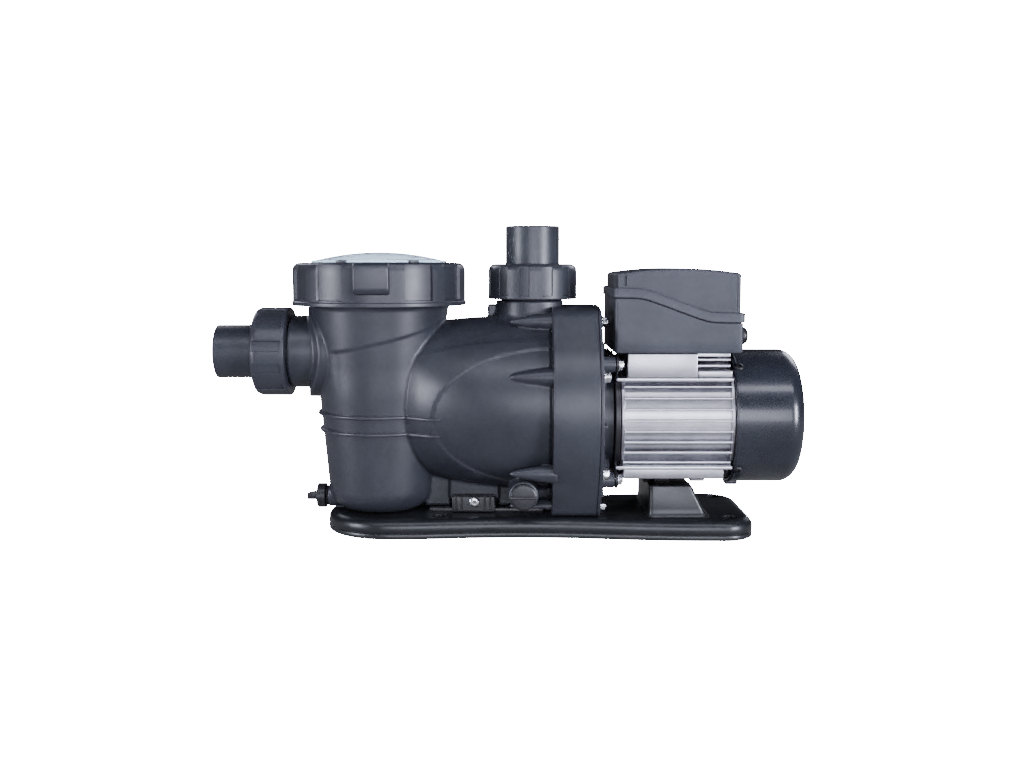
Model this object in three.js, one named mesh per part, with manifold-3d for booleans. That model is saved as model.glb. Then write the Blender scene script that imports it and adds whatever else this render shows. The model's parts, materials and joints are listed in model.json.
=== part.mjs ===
// Swimming-pool circulation pump: a strainer pot with a screw-on lid, a moulded pump housing,
// a finned electric motor with a terminal box, and the base plate that carries them.
// Millimetres, +X along the shaft towards the fan, +Z up, origin at the bottom centre.
// The base plate stands on the ground. Everything above it is drawn in one group, raised by LIFT.
import * as THREE from 'three';
import { mergeVertices } from 'three/addons/utils/BufferGeometryUtils.js';
import Module from 'manifold-3d';

const wasm = await Module();
wasm.setup();

// ---- driving dimensions ----
const GAP = 0.3;
const LIFT = 6;
const LENGTH_END = 270.5;
const SHAFT_Z = 100;
const SHAFT_R = 8;

const BASE_TOP = 18;
const BASE_X = [-168, 227];
const BASE_HALF = { left: 61.5, waist: 54, right: 67 };

const POT_X = -118;
const POT_FLOOR = BASE_TOP + GAP - LIFT;
const POT_NECK_Z = 201;
const POT_NECK_R = 64;
const POT_FOOT_Z = 33;
const POT_FOOT_R = 49;
const POT_WALL = 5;
const POT_RIM_Z = 230.5;
const POT_RIM_R = 71.4;
const POT_MOUTH_R = 61.5;
const LEDGE_Z = 198;

const INLET_Z = 160.3;
const INLET_FACE_X = -201.3;
const OUTLET_X = 25;
const OUTLET_FACE_Z = 209.7;
const OUTLET_END_Z = 277;
const NECK_R = 33.7;
const NECK_PAD_R = 42.4;
const POT_PAD_R = 66.4;
const PIPE_R = 25;
const PIPE_BORE_R = 21;
const THREAD_R = 30.6;
const THREAD_LENGTH = 19;

const FLANGE_X = [42, 82.7];
const FLANGE_R = 97;
const FLANGE_Z = 110;
const FLANGE_TOP = { ear: 54, z: 200.5, crown: 204.4 };
const FLANGE_FOOT = { ear: 50, z: BASE_TOP - LIFT + 0.6 };
const FLANGE_BOLTS = [[41, 190], [80.4, 143.6], [73.6, 57], [36, 20]];
const CHAMBER_R = 74.2;
const CHAMBER_WALL = 7;

const SEAL_PLATE_X = [83, 86];
const HUB_X = 98.6;
const MOTOR_BOLT_R = 74;

const FRAME_X = [104.3, 206.7];
const FRAME_BORE = 50;
const FRAME_R = 55;
const FIN_R = 61;
const FIN_PITCH = 9.9;
const FIN_DROP = 2.6;
const RAIL_Z = [59.2, 139];
const COVER_X = [207.3, LENGTH_END];
const COVER_R = 62.4;

const BOX_X = [97, 211.5];
const BOX_HALF = 60;
const BOX_FLOOR = 163;
const BOX_SEAM = { left: 211.9, right: 189.7, from: 119, to: 184 };
const BOX_SKIRT = { height: 9, proud: 1.5 };
const BOX_CAP_INSET = 2.6;
const BOX_CROWN = { middle: 238.5, ends: 233.7 };
const BOX_WALL = 3;
const GLAND = { x: BOX_X[1], z: 175 };

const RING_R = 80;
const RING_Z = [204.2, 243.4];

// ---- materials ----
const PLASTIC = new THREE.Color(0x4a4d58);
const finish = (color, roughness, metalness) => ({ color, roughness, metalness });
const FINISH = {
  moulding: finish(PLASTIC, 0.45, 0),
  baseMoulding: finish(0x555a64, 0.5, 0),
  fanCover: finish(0x3c3f4b, 0.25, 0),
  boxMoulding: finish(0x646675, 0.5, 0),
  blackPlastic: finish(0x15161a, 0.4, 0),
  lens: finish(0xcddcf0, 0.08, 0),
  basket: finish(0xd8dde0, 0.5, 0),
  internal: finish(0x2c2f36, 0.55, 0),
  rubber: finish(0x101012, 0.8, 0),
  aluminium: finish(0xcdcdda, 0.45, 1),
  steel: finish(0xe4e4ea, 0.2, 1),
  lamination: finish(0x55575c, 0.55, 1),
  copper: finish(0xb06a3c, 0.4, 1),
  ceramic: finish(0xe6e0d4, 0.35, 0),
};

// ---- solids from three.js geometry ----
function solid(geometry) {
  geometry.deleteAttribute('normal');
  geometry.deleteAttribute('uv');
  const merged = mergeVertices(geometry, 1e-4);
  const corners = merged.index.array;
  const kept = [];
  for (let i = 0; i < corners.length; i += 3) {
    const [a, b, c] = corners.slice(i, i + 3);
    if (a !== b && b !== c && c !== a) kept.push(a, b, c);
  }
  return new wasm.Manifold(new wasm.Mesh({
    numProp: 3,
    vertProperties: merged.attributes.position.array,
    triVerts: new Uint32Array(kept),
  }));
}

const union = (...solids) => solids.reduce((whole, next) => whole.add(next));
const cut = (body, ...tools) => tools.reduce((whole, tool) => whole.subtract(tool), body);
const degrees = (angle) => THREE.MathUtils.degToRad(angle);

// Sides of a round shape: surfaces that nest share a count, so their facets line up.
function facets(radius) {
  if (radius >= 53) return 24;
  if (radius >= 28) return 20;
  if (radius >= 12) return 16;
  return radius >= 4.2 ? 8 : 6;
}

// A solid of revolution: profile points are [radius, place along the axis], anticlockwise.
function revolve(axis, profile, at = [0, 0, 0], sides = 0) {
  const points = profile.map(([radius, place]) => new THREE.Vector2(radius, place));
  const widest = Math.max(...profile.map(([radius]) => radius));
  const geometry = new THREE.LatheGeometry(points, sides || facets(widest));
  if (axis === 'x') geometry.rotateZ(-Math.PI / 2);
  if (axis === 'z') geometry.rotateX(Math.PI / 2);
  geometry.translate(...at);
  return solid(geometry);
}

const rod = (axis, radius, [start, end], at, sides) =>
  revolve(axis, [[0, start], [radius, start], [radius, end], [0, end]], at, sides);

const ring = (axis, [inner, outer], [start, end], at) =>
  revolve(axis, [[inner, start], [outer, start], [outer, end], [inner, end], [inner, start]], at);

// Points of an arc in a profile, from one angle to another in degrees.
function arc(centre, radius, from, to, steps) {
  const points = [];
  for (let i = 0; i <= steps; i += 1) {
    const angle = degrees(from + ((to - from) * i) / steps);
    points.push([centre[0] + radius * Math.cos(angle), centre[1] + radius * Math.sin(angle)]);
  }
  return points;
}

function box([x0, x1], [y0, y1], [z0, z1]) {
  const geometry = new THREE.BoxGeometry(x1 - x0, y1 - y0, z1 - z0);
  geometry.translate((x0 + x1) / 2, (y0 + y1) / 2, (z0 + z1) / 2);
  return solid(geometry);
}

// A plate of the shape's outline; edge rounds both rims.
const DIRECTIONS = {
  x: [new THREE.Vector3(0, 1, 0), new THREE.Vector3(0, 0, 1), new THREE.Vector3(1, 0, 0)],
  y: [new THREE.Vector3(-1, 0, 0), new THREE.Vector3(0, 0, 1), new THREE.Vector3(0, 1, 0)],
  z: [new THREE.Vector3(1, 0, 0), new THREE.Vector3(0, 1, 0), new THREE.Vector3(0, 0, 1)],
};

function extrude(axis, shape, [start, end], { edge = 0, curveSegments = 5, bevelSegments = 3 } = {}) {
  const geometry = new THREE.ExtrudeGeometry(shape, {
    depth: end - start - 2 * edge,
    curveSegments,
    bevelEnabled: edge > 0,
    bevelThickness: edge,
    bevelSize: edge,
    bevelOffset: -edge,
    bevelSegments,
  });
  geometry.translate(0, 0, start + edge);
  geometry.applyMatrix4(new THREE.Matrix4().makeBasis(...DIRECTIONS[axis]));
  return solid(geometry);
}

const polygon = (points) => new THREE.Shape(points.map(([a, b]) => new THREE.Vector2(a, b)));

function roundedRectangle([x0, x1], [y0, y1], radius) {
  const shape = new THREE.Shape();
  shape.moveTo(x0 + radius, y0);
  shape.absarc(x1 - radius, y0 + radius, radius, -Math.PI / 2, 0, false);
  shape.absarc(x1 - radius, y1 - radius, radius, 0, Math.PI / 2, false);
  shape.absarc(x0 + radius, y1 - radius, radius, Math.PI / 2, Math.PI, false);
  shape.absarc(x0 + radius, y0 + radius, radius, Math.PI, 1.5 * Math.PI, false);
  return shape;
}

const turned = (axis, angle, body, centre = [0, 0, 0]) => {
  const turn = { x: [angle, 0, 0], y: [0, angle, 0], z: [0, 0, angle] }[axis];
  return body.translate(centre.map((value) => -value)).rotate(turn).translate(centre);
};

// ---- the exported group ----
const pump = new THREE.Group();
const raised = new THREE.Group();
raised.position.z = LIFT;
pump.add(raised);

function addPart(name, body, look, group = raised) {
  const data = body.getMesh();
  const geometry = new THREE.BufferGeometry();
  geometry.setAttribute('position', new THREE.BufferAttribute(data.vertProperties, 3));
  geometry.setIndex(new THREE.BufferAttribute(data.triVerts, 1));
  geometry.computeVertexNormals();
  const mesh = new THREE.Mesh(geometry, new THREE.MeshStandardMaterial(look));
  mesh.name = name;
  group.add(mesh);
}

const ON_SHAFT = [0, 0, SHAFT_Z];
const motorCylinder = (radius, range) => rod('x', radius, range, ON_SHAFT);

// ---- base ----
function baseOutline() {
  const { left, waist, right } = BASE_HALF;
  const corner = 30;
  const leftEnd = BASE_X[0] + left;
  const rightEnd = BASE_X[1] - corner;
  const waistX = 13;
  const shape = new THREE.Shape();
  shape.moveTo(rightEnd, -right);
  shape.absarc(rightEnd, corner - right, corner, -Math.PI / 2, 0, false);
  shape.absarc(rightEnd, right - corner, corner, 0, Math.PI / 2, false);
  shape.bezierCurveTo(110, right, 80, waist, waistX, waist);
  shape.bezierCurveTo(-40, waist, -60, left, leftEnd, left);
  shape.absarc(leftEnd, 0, left, Math.PI / 2, 1.5 * Math.PI, false);
  shape.bezierCurveTo(-60, -left, -40, -waist, waistX, -waist);
  shape.bezierCurveTo(80, -waist, 110, -right, rightEnd, -right);
  return shape;
}

const PEDESTAL = { foot: [131, 185], top: [131, 170], z: [17, 47], half: 48 };
const PLINTH = { x: [-72, 36], half: 20, top: 21 };
const PLUG_Z = 22.8;
const overShaft = (radius, range) => rod('x', radius, range, [0, 0, SHAFT_Z + LIFT]);

function makeBase() {
  const outline = baseOutline();
  const band = extrude('z', outline, [0, 11]);
  const crown = extrude('z', outline, [2, BASE_TOP], { edge: 8, bevelSegments: 2 });
  const plinth = extrude('z', roundedRectangle(PLINTH.x, [-PLINTH.half, PLINTH.half], 8), [15, PLINTH.top]);
  const { foot, top, z, half } = PEDESTAL;
  const side = polygon([[-foot[1], z[0]], [-foot[0], z[0]], [-top[0], z[1]], [-top[1], z[1]]]);
  const pedestal = extrude('y', side, [-half, half]);
  const saddle = overShaft(64, [100, 190]);
  const holes = [[-60, 42], [-60, -42], [205, 46], [205, -46]]
    .map(([x, y]) => rod('z', 4.5, [-1, 30], [x, y, 0]));
  const plugRelief = rod('x', 12.3, [-195, -138], [0, 0, PLUG_Z + LIFT]);
  const potRelief = rod('z', 52, [BASE_TOP, 30], [POT_X, 0, 0]);
  const base = cut(union(band, crown, plinth, pedestal), saddle, plugRelief);
  addPart('base_plate', cut(base, potRelief, ...holes), FINISH.baseMoulding, pump);

  const block = box([139, 153], [-20, 20], [36, 60]);
  const seat = cut(pedestal.translate([0, 0, GAP]), overShaft(63.7, [100, 190]));
  const pad = cut(block, overShaft(60.4, [100, 190]), seat);
  addPart('motor_rest_pad', pad, FINISH.rubber, pump);
}

const CLAMP = { x: [-50, -9.5], end: [20.3, 29], z: [BASE_TOP + GAP, 33.5], bar: [21.3, 28] };
const CLAMP_BOLT = { x: -29, y: -CLAMP.end[1], z: 28.4 };

function makeClamp() {
  const { x, end, z, bar } = CLAMP;
  let block = box(x, [-end[1], end[1]], bar);
  for (const side of [-1, 1]) {
    const reach = end.map((value) => value * side).sort((a, b) => a - b);
    block = block.add(box(x, reach, z));
    for (const slotX of [-46, -41, -20, -15]) {
      const face = side * end[1];
      const depth = [face - 1.2, face + 1.2];
      block = block.subtract(box([slotX, slotX + 1.6], depth, [z[0] + 3, z[1] + 1]));
    }
  }
  const at = [CLAMP_BOLT.x, 0, CLAMP_BOLT.z];
  const bore = rod('y', 2.8, [CLAMP_BOLT.y - 1, CLAMP_BOLT.y + 8], at);
  addPart('clamp_block', block.subtract(bore), FINISH.blackPlastic, pump);
  const y = CLAMP_BOLT.y - GAP;
  const head = revolve('y', [[0, y - 3.4], [3, y - 3.2], [5, y - 1.6], [5, y], [0, y]], at);
  const shank = rod('y', 2.5, [y - 1, y + 7.8], at);
  addPart('clamp_bolt', head.add(shank), FINISH.steel, pump);
}

// ---- pump housing ----
// Half-width, middle height and half-height of the egg-shaped volute at a place along the shaft.
function volute(x) {
  const back = Math.max(0, FLANGE_X[0] - x);
  const half = 88 * Math.sqrt(1 - (back / 159.5) ** 2);
  const top = 112 + 83 * Math.sqrt(1 - (back / 292) ** 2);
  const bottom = 112 - 79 * Math.sqrt(1 - (back / 210) ** 2);
  return { half, middle: (top + bottom) / 2, height: (top - bottom) / 2 };
}

function voluteSolid([start, end], grow, steps = 6) {
  const geometry = new THREE.CylinderGeometry(1, 1, 1, 24, steps);
  const place = geometry.attributes.position;
  for (let i = 0; i < place.count; i += 1) {
    const x = start + (place.getY(i) + 0.5) * (end - start);
    const { half, middle, height } = volute(x);
    const y = -place.getX(i) * (half + grow);
    const z = middle + place.getZ(i) * (height + grow);
    place.setXYZ(i, x, y, z);
  }
  return solid(geometry);
}

const coneRadius = (z) =>
  POT_NECK_R - ((POT_NECK_R - POT_FOOT_R) * (POT_NECK_Z - z)) / (POT_NECK_Z - POT_FOOT_Z);

function potOutside() {
  const round = 20;
  const foot = arc([POT_FOOT_R - round, POT_FOOT_Z], round, -90, -4, 4);
  return revolve('z', [
    [0, POT_FLOOR],
    [POT_FOOT_R - round, POT_FLOOR],
    ...foot.slice(1).map(([radius, z]) => [radius, Math.max(z, POT_FLOOR)]),
    [POT_NECK_R, POT_NECK_Z],
    [POT_RIM_R, POT_NECK_Z + 5],
    [POT_RIM_R, POT_RIM_Z],
    [0, POT_RIM_Z],
  ], [POT_X, 0, 0]);
}

function potInside() {
  const floor = POT_FLOOR + POT_WALL + 1;
  return revolve('z', [
    [0, floor],
    [26, floor],
    [38, floor + 6],
    [coneRadius(POT_FOOT_Z + 4) - POT_WALL, POT_FOOT_Z + 4],
    [coneRadius(LEDGE_Z) - POT_WALL, LEDGE_Z],
    [POT_MOUTH_R, LEDGE_Z],
    [POT_MOUTH_R, POT_RIM_Z + 5],
    [0, POT_RIM_Z + 5],
  ], [POT_X, 0, 0]);
}

// Where the flange's straight side, running out to an ear, leaves its round part.
function earTangent(ear, rise) {
  return Math.atan2(rise, ear) - Math.acos(FLANGE_R / Math.hypot(ear, rise));
}

// A round plate that runs out to two ears at the top and two feet at the bottom.
function flangeOutline() {
  const soft = 8;
  const upper = earTangent(FLANGE_TOP.ear, FLANGE_TOP.z - FLANGE_Z);
  const lower = earTangent(FLANGE_FOOT.ear, FLANGE_Z - FLANGE_FOOT.z);
  const top = [FLANGE_TOP.ear + soft * Math.sin(upper), FLANGE_TOP.z - soft * Math.cos(upper)];
  const foot = [FLANGE_FOOT.ear + soft * Math.sin(lower), FLANGE_FOOT.z + soft * Math.cos(lower)];
  const shape = new THREE.Shape();
  shape.moveTo(FLANGE_FOOT.ear - soft, FLANGE_FOOT.z);
  shape.quadraticCurveTo(FLANGE_FOOT.ear, FLANGE_FOOT.z, ...foot);
  shape.absarc(0, FLANGE_Z, FLANGE_R, -lower, upper, false);
  shape.lineTo(...top);
  shape.quadraticCurveTo(FLANGE_TOP.ear, FLANGE_TOP.z, FLANGE_TOP.ear - soft, FLANGE_TOP.z + 0.6);
  shape.lineTo(0, FLANGE_TOP.crown);
  shape.lineTo(soft - FLANGE_TOP.ear, FLANGE_TOP.z + 0.6);
  shape.quadraticCurveTo(-FLANGE_TOP.ear, FLANGE_TOP.z, -top[0], top[1]);
  shape.absarc(0, FLANGE_Z, FLANGE_R, Math.PI - upper, Math.PI + lower, false);
  shape.lineTo(-foot[0], foot[1]);
  shape.quadraticCurveTo(-FLANGE_FOOT.ear, FLANGE_FOOT.z, soft - FLANGE_FOOT.ear, FLANGE_FOOT.z);
  shape.closePath();
  return shape;
}

const flangeBoltPlaces = [
  ...FLANGE_BOLTS,
  ...FLANGE_BOLTS.map(([y, z]) => [-y, z]).reverse(),
];

const FRONT_PLUG = { x: 16.2, z: 36, face: -70, head: 77.3 };
const POT_PLUG = { face: -168.5, head: -179.3, tab: -189.5 };
const SUCTION_R = 19;

function housingOutside() {
  const flange = extrude('x', flangeOutline(), FLANGE_X, { edge: 1.5, curveSegments: 9, bevelSegments: 1 });
  const inletAt = [0, 0, INLET_Z];
  const outletAt = [OUTLET_X, 0, 0];
  const pieces = [
    potOutside(),
    voluteSolid([-94, 50], 0),
    flange,
    rod('x', NECK_R, [INLET_FACE_X + 1.5, POT_X], inletAt),
    rod('x', THREAD_R, [INLET_FACE_X - THREAD_LENGTH, POT_X], inletAt),
    rod('z', NECK_R, [FLANGE_Z, OUTLET_FACE_Z - 1.5], outletAt),
    rod('z', THREAD_R, [FLANGE_Z, OUTLET_FACE_Z + THREAD_LENGTH], outletAt),
    rod('x', NECK_PAD_R, [-190, POT_X], inletAt).intersect(rod('z', POT_PAD_R, [100, 210], [POT_X, 0, 0])),
    box([-17, 8], [-2, 2], [180, 204.8]),
    box([-53, -6], [-17, 17], [CLAMP.bar[1] + GAP - LIFT, 60]),
    box([-76, -52], [-12, 12], [PLINTH.top + GAP - LIFT, 60]),
    box([-7, 44], [-12, 12], [PLINTH.top + GAP - LIFT, 50]),
    rod('y', 13.4, [FRONT_PLUG.face, -30], [FRONT_PLUG.x, 0, FRONT_PLUG.z]),
    rod('x', 10.6, [POT_PLUG.face, -140], [0, 0, PLUG_Z]),
  ];
  for (const height of [88.5, 104]) {
    const radius = coneRadius(height) + 2.8;
    const range = [height - 1.2, height + 1.2];
    pieces.push(rod('z', radius, range, [POT_X, 0, 0]));
    pieces.push(voluteSolid([-94, -58], 2.6, 2).intersect(box([-95, -58], [-80, 80], range)));
  }
  for (const [y, z] of flangeBoltPlaces) {
    const boss = new THREE.SphereGeometry(8.6, 8, 4);
    boss.scale(4.4, 1, 1);
    boss.translate(FLANGE_X[0], y, z);
    pieces.push(solid(boss).intersect(box([-10, 60], [-96, 96], [18.4, FLANGE_TOP.z])));
  }
  return union(...pieces);
}

function makeHousing() {
  const chamber = cut(
    voluteSolid([-42, 60], -CHAMBER_WALL, 4),
    rod('x', SUCTION_R + 4.5, [-60, 24], ON_SHAFT),
  );
  const inside = union(
    potInside(),
    rod('x', PIPE_BORE_R, [-240, POT_X], [0, 0, INLET_Z]),
    rod('x', SUCTION_R, [-119, 30], ON_SHAFT),
    chamber,
    rod('x', CHAMBER_R, [50, 90], ON_SHAFT),
    rod('z', PIPE_BORE_R, [FLANGE_Z, 240], [OUTLET_X, 0, 0]),
    rod('y', 7.4, [-90, -40], [FRONT_PLUG.x, 0, FRONT_PLUG.z]),
    rod('x', 5, [-195, -145], [0, 0, PLUG_Z]),
    rod('y', 12.6, [-90, FRONT_PLUG.face], [FRONT_PLUG.x, 0, FRONT_PLUG.z]),
    ...flangeBoltPlaces.map(([y, z]) => rod('x', 3.3, [58, 90], [0, y, z])),
  );
  addPart('pump_housing', housingOutside().subtract(inside), FINISH.moulding);
}

// ---- seal plate, seal and impeller ----
const QUARTERS = [45, 135, 225, 315];
const COVER_SCREWS = [51, 129, 225, 315];
const quarterPlace = (angle, radius) => [
  radius * Math.cos(degrees(angle)),
  SHAFT_Z + radius * Math.sin(degrees(angle)),
];
const SEAL_SEAT = { radius: 17.4, depth: 80 };
const O_RING_GROOVE = { x: [76, 79.6], floor: 70.6 };

function makeSealPlate() {
  const [front, back] = SEAL_PLATE_X;
  const plate = extrude('x', flangeOutline(), SEAL_PLATE_X, { curveSegments: 9 });
  const pieces = [plate, motorCylinder(CHAMBER_R - 0.6, [74, back]), motorCylinder(52, [front, HUB_X])];
  for (const angle of QUARTERS) {
    const [y, z] = quarterPlace(angle, MOTOR_BOLT_R);
    pieces.push(rod('x', 7, [front, HUB_X], [0, y, z]));
    const web = box([front, 95], [45, MOTOR_BOLT_R], [-2, 2]);
    pieces.push(turned('x', angle, web).translate(ON_SHAFT));
  }
  const groove = ring('x', [O_RING_GROOVE.floor, 90], O_RING_GROOVE.x, ON_SHAFT);
  const tools = [
    motorCylinder(9.5, [60, 110]),
    motorCylinder(SEAL_SEAT.radius, [60, SEAL_SEAT.depth]),
    motorCylinder(44, [88, 110]),
    groove,
    ...flangeBoltPlaces.map(([y, z]) => rod('x', 3.3, [70, 90], [0, y, z])),
    ...QUARTERS.map((angle) => {
      const [y, z] = quarterPlace(angle, MOTOR_BOLT_R);
      return rod('x', 3.3, [90, 110], [0, y, z]);
    }),
  ];
  addPart('seal_plate', cut(union(...pieces), ...tools), FINISH.moulding);

  const cord = [[71, 76.3], [73.8, 76.3], [73.8, 79.3], [71, 79.3], [71, 76.3]];
  addPart('housing_o_ring', revolve('x', cord, ON_SHAFT), FINISH.rubber);
}

function makeSeal() {
  const seat = ring('x', [9.6, SEAL_SEAT.radius - GAP], [73.5, 79.7], ON_SHAFT);
  addPart('seal_stationary', seat, FINISH.ceramic);
  const inner = SHAFT_R + GAP;
  const rotary = revolve('x', [
    [inner, 61.2], [13, 61.2], [15, 66], [15, 71], [12.5, 73.2], [inner, 73.2], [inner, 61.2],
  ], ON_SHAFT);
  addPart('seal_rotary', rotary, FINISH.internal);
}

// A curved blade standing between two discs, swept back from inner to outer radius.
function blade(inner, outer, thickness, range, lean) {
  const steps = lean === 0 ? 1 : 3;
  const face = [];
  const back = [];
  for (let i = 0; i <= steps; i += 1) {
    const radius = inner + ((outer - inner) * i) / steps;
    const angle = degrees(lean) * (i / steps);
    face.push([radius * Math.cos(angle), radius * Math.sin(angle)]);
    const thick = angle + thickness / radius;
    back.unshift([radius * Math.cos(thick), radius * Math.sin(thick)]);
  }
  return extrude('x', polygon([...face, ...back]), range);
}

function blades(count, ...shape) {
  const one = blade(...shape);
  return Array.from({ length: count }, (_, i) => turned('x', (360 * i) / count, one).translate(ON_SHAFT));
}

function makeImpeller() {
  const wheel = union(
    ring('x', [19, 48], [38, 41], ON_SHAFT),
    motorCylinder(48, [57, 60.5]),
    motorCylinder(13, [44, 60.9]),
    ring('x', [16.4, 19.4], [32, 41], ON_SHAFT),
    ...blades(6, 18, 47, 2.6, [40, 58], -48),
  );
  const bore = motorCylinder(SHAFT_R + GAP, [30, 70]);
  addPart('impeller', wheel.subtract(bore), FINISH.internal);

  const bowl = revolve('x', [
    [20, 26], [23, 26], [23, 34], [57, 34], [57, 66], [51, 66], [51, 37.2], [20, 37.2], [20, 26],
  ], ON_SHAFT);
  const slot = box([42, 60], [46, 62], [-9, 9]);
  const slots = Array.from({ length: 8 }, (_, i) => turned('x', 45 * i, slot).translate(ON_SHAFT));
  addPart('diffuser', cut(bowl, ...slots), FINISH.internal);
}

// ---- motor ----
function makeRotor() {
  const shaft = revolve('x', [
    [0, 43], [SHAFT_R - 1, 43], [SHAFT_R, 44], [SHAFT_R, 228], [SHAFT_R - 1, 229], [0, 229],
  ], ON_SHAFT);
  addPart('motor_shaft', shaft, FINISH.steel);
  const inner = SHAFT_R + GAP;
  addPart('rotor_core', ring('x', [inner, 27], [125, 185], ON_SHAFT), FINISH.lamination);
  addPart('front_bearing', ring('x', [inner, 17.4], [102.4, 113], ON_SHAFT), FINISH.steel);
  addPart('rear_bearing', ring('x', [inner, 17.4], [197, 207.6], ON_SHAFT), FINISH.steel);
  const hub = union(
    motorCylinder(14, [216, 232]),
    motorCylinder(36, [216, 218.4]),
    ...blades(7, 12, 54, 2.4, [217, 236], 0),
  );
  addPart('cooling_fan', hub.subtract(motorCylinder(inner, [200, 230])), FINISH.internal);
}

function makeStator() {
  const core = ring('x', [28, FRAME_BORE - GAP], [122, 188], ON_SHAFT);
  const tooth = box([110, 200], [26, 40], [-2.2, 2.2]);
  const slots = Array.from({ length: 12 }, (_, i) => turned('x', 30 * i, tooth).translate(ON_SHAFT));
  addPart('stator_core', cut(core, ...slots), FINISH.lamination);
  const coil = (range) => ring('x', [31, 44.5], range, ON_SHAFT);
  addPart('winding_front', coil([114, 121.7]), FINISH.copper);
  addPart('winding_rear', coil([188.3, 196]), FINISH.copper);
}

function makeShields() {
  const front = revolve('x', [
    [9, 99], [57.5, 99], [57.5, 104], [49.2, 104], [49.2, 110], [46, 110], [46, 106],
    [22, 106], [22, 113.4], [18, 113.4], [18, 102], [9, 102], [9, 99],
  ], ON_SHAFT);
  const lugs = QUARTERS.map((angle) => {
    const arm = box([HUB_X + 0.4, 101.2], [50, MOTOR_BOLT_R], [-5, 5]);
    const [y, z] = quarterPlace(angle, MOTOR_BOLT_R);
    const eye = rod('x', 7.5, [HUB_X + 0.4, 101.2], [0, y, z]);
    const hole = rod('x', 3.3, [95, 110], [0, y, z]);
    return turned('x', angle, arm).translate(ON_SHAFT).add(eye).subtract(hole);
  });
  addPart('front_shield', union(front, ...lugs), FINISH.blackPlastic);
  const rear = revolve('x', [
    [9, 212], [9, 208], [18, 208], [18, 196.6], [22, 196.6], [22, 203], [46, 203], [46, 200],
    [49.2, 200], [49.2, 207.2], [58.8, 207.2], [58.8, 215], [9, 215], [9, 212],
  ], ON_SHAFT);
  addPart('rear_shield', rear, FINISH.aluminium);
}

function makeFrame() {
  const [front, back] = FRAME_X;
  const pieces = [
    motorCylinder(FRAME_R, FRAME_X),
    motorCylinder(58, [front, front + 3]),
    motorCylinder(58, [back - 3, back]),
    motorCylinder(60, [front + 3, back - 3]).intersect(box([100, 210], [-60, 60], [30, 56])),
    box([front + 1, 198], [-50, 50], [47.8, 58]),
    box([109, 172], [-57, 57], [140.5, BOX_FLOOR - GAP]),
    box([172, 203], [-56, 56], [141, 147]),
  ];
  for (let i = 0; i < 8; i += 1) {
    const height = FIN_PITCH * (i - 3.5) - FIN_DROP;
    const half = Math.sqrt(FIN_R ** 2 - height ** 2);
    const z = SHAFT_Z + height;
    pieces.push(box([front + 1, back - 1], [-half, half], [z - 1, z + 1]));
  }
  for (const z of RAIL_Z) {
    pieces.push(box([front, back - 2], [-57, 57], [z - 1.7, z + 1.7]));
    for (const side of [-1, 1]) {
      const reach = [51 * side, 57 * side].sort((a, b) => a - b);
      pieces.push(box([99, front + 1], reach, [z - 1.7, z + 1.7]));
    }
  }
  for (const z of [151, 157]) {
    pieces.push(box([172, 202], [-50, 50], [z - 1, z + 1]));
  }
  const ledge = box([174, 188], [-8, 8], [38, 45]);
  const boltRoom = QUARTERS.map((angle) => {
    const [y, z] = quarterPlace(angle, MOTOR_BOLT_R);
    return rod('x', 7.4, [98, 113], [0, y, z]);
  });
  const body = cut(union(...pieces, ledge), ...boltRoom);
  addPart('motor_frame', body.subtract(motorCylinder(FRAME_BORE, [90, 220])), FINISH.aluminium);
}

function makeFanCover() {
  const [front, back] = COVER_X;
  const wall = 2.2;
  const round = 15;
  const outer = arc([COVER_R - round, back - round], round, 0, 90, 4);
  const inner = arc([COVER_R - round, back - round], round - wall, 90, 0, 4);
  const shell = revolve('x', [
    [0, back - wall],
    ...inner,
    [COVER_R - wall, front],
    [COVER_R, front],
    ...outer,
    [0, back],
  ], ON_SHAFT);
  const slot = box([back - 8, back + 2], [12, 44], [-2.4, 2.4]);
  const slots = Array.from({ length: 12 }, (_, i) => turned('x', 30 * i, slot).translate(ON_SHAFT));
  const holes = COVER_SCREWS.map((angle) => {
    const hole = rod('y', 2.4, [50, 66], [212, 0, 0]);
    return turned('x', angle, hole).translate(ON_SHAFT);
  });
  addPart('fan_cover', cut(shell, ...slots, ...holes), FINISH.fanCover);
  COVER_SCREWS.forEach((angle, i) => {
    const start = COVER_R + GAP;
    const at = [212, 0, 0];
    const head = revolve('y', [[0, start], [4, start], [3.6, start + 1.2], [2, start + 2], [0, start + 2.2]],
      at);
    const shank = rod('y', 2, [59.3, start + 0.5], at);
    const screw = turned('x', angle, head.add(shank)).translate(ON_SHAFT);
    addPart(`fan_cover_screw_${i + 1}`, screw, FINISH.blackPlastic);
  });
}

// ---- terminal box ----
const boxPlan = (inset) => roundedRectangle(
  [BOX_X[0] + inset, BOX_X[1] - inset],
  [inset - BOX_HALF, BOX_HALF - inset],
  Math.max(1, 7 - inset),
);

// The region below the S-shaped parting line, raised by lift; y extrusions mirror the outline in x.
function underSeam(lift) {
  const { left, right, from, to } = BOX_SEAM;
  const blend = 14;
  const shape = new THREE.Shape();
  shape.moveTo(-90, 150);
  shape.lineTo(-90, left + lift);
  shape.lineTo(-from, left + lift);
  shape.bezierCurveTo(-from - blend, left + lift, -to + blend, right + lift, -to, right + lift);
  shape.lineTo(-220, right + lift);
  shape.lineTo(-220, 150);
  shape.closePath();
  return extrude('y', shape, [-80, 80]);
}

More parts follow.
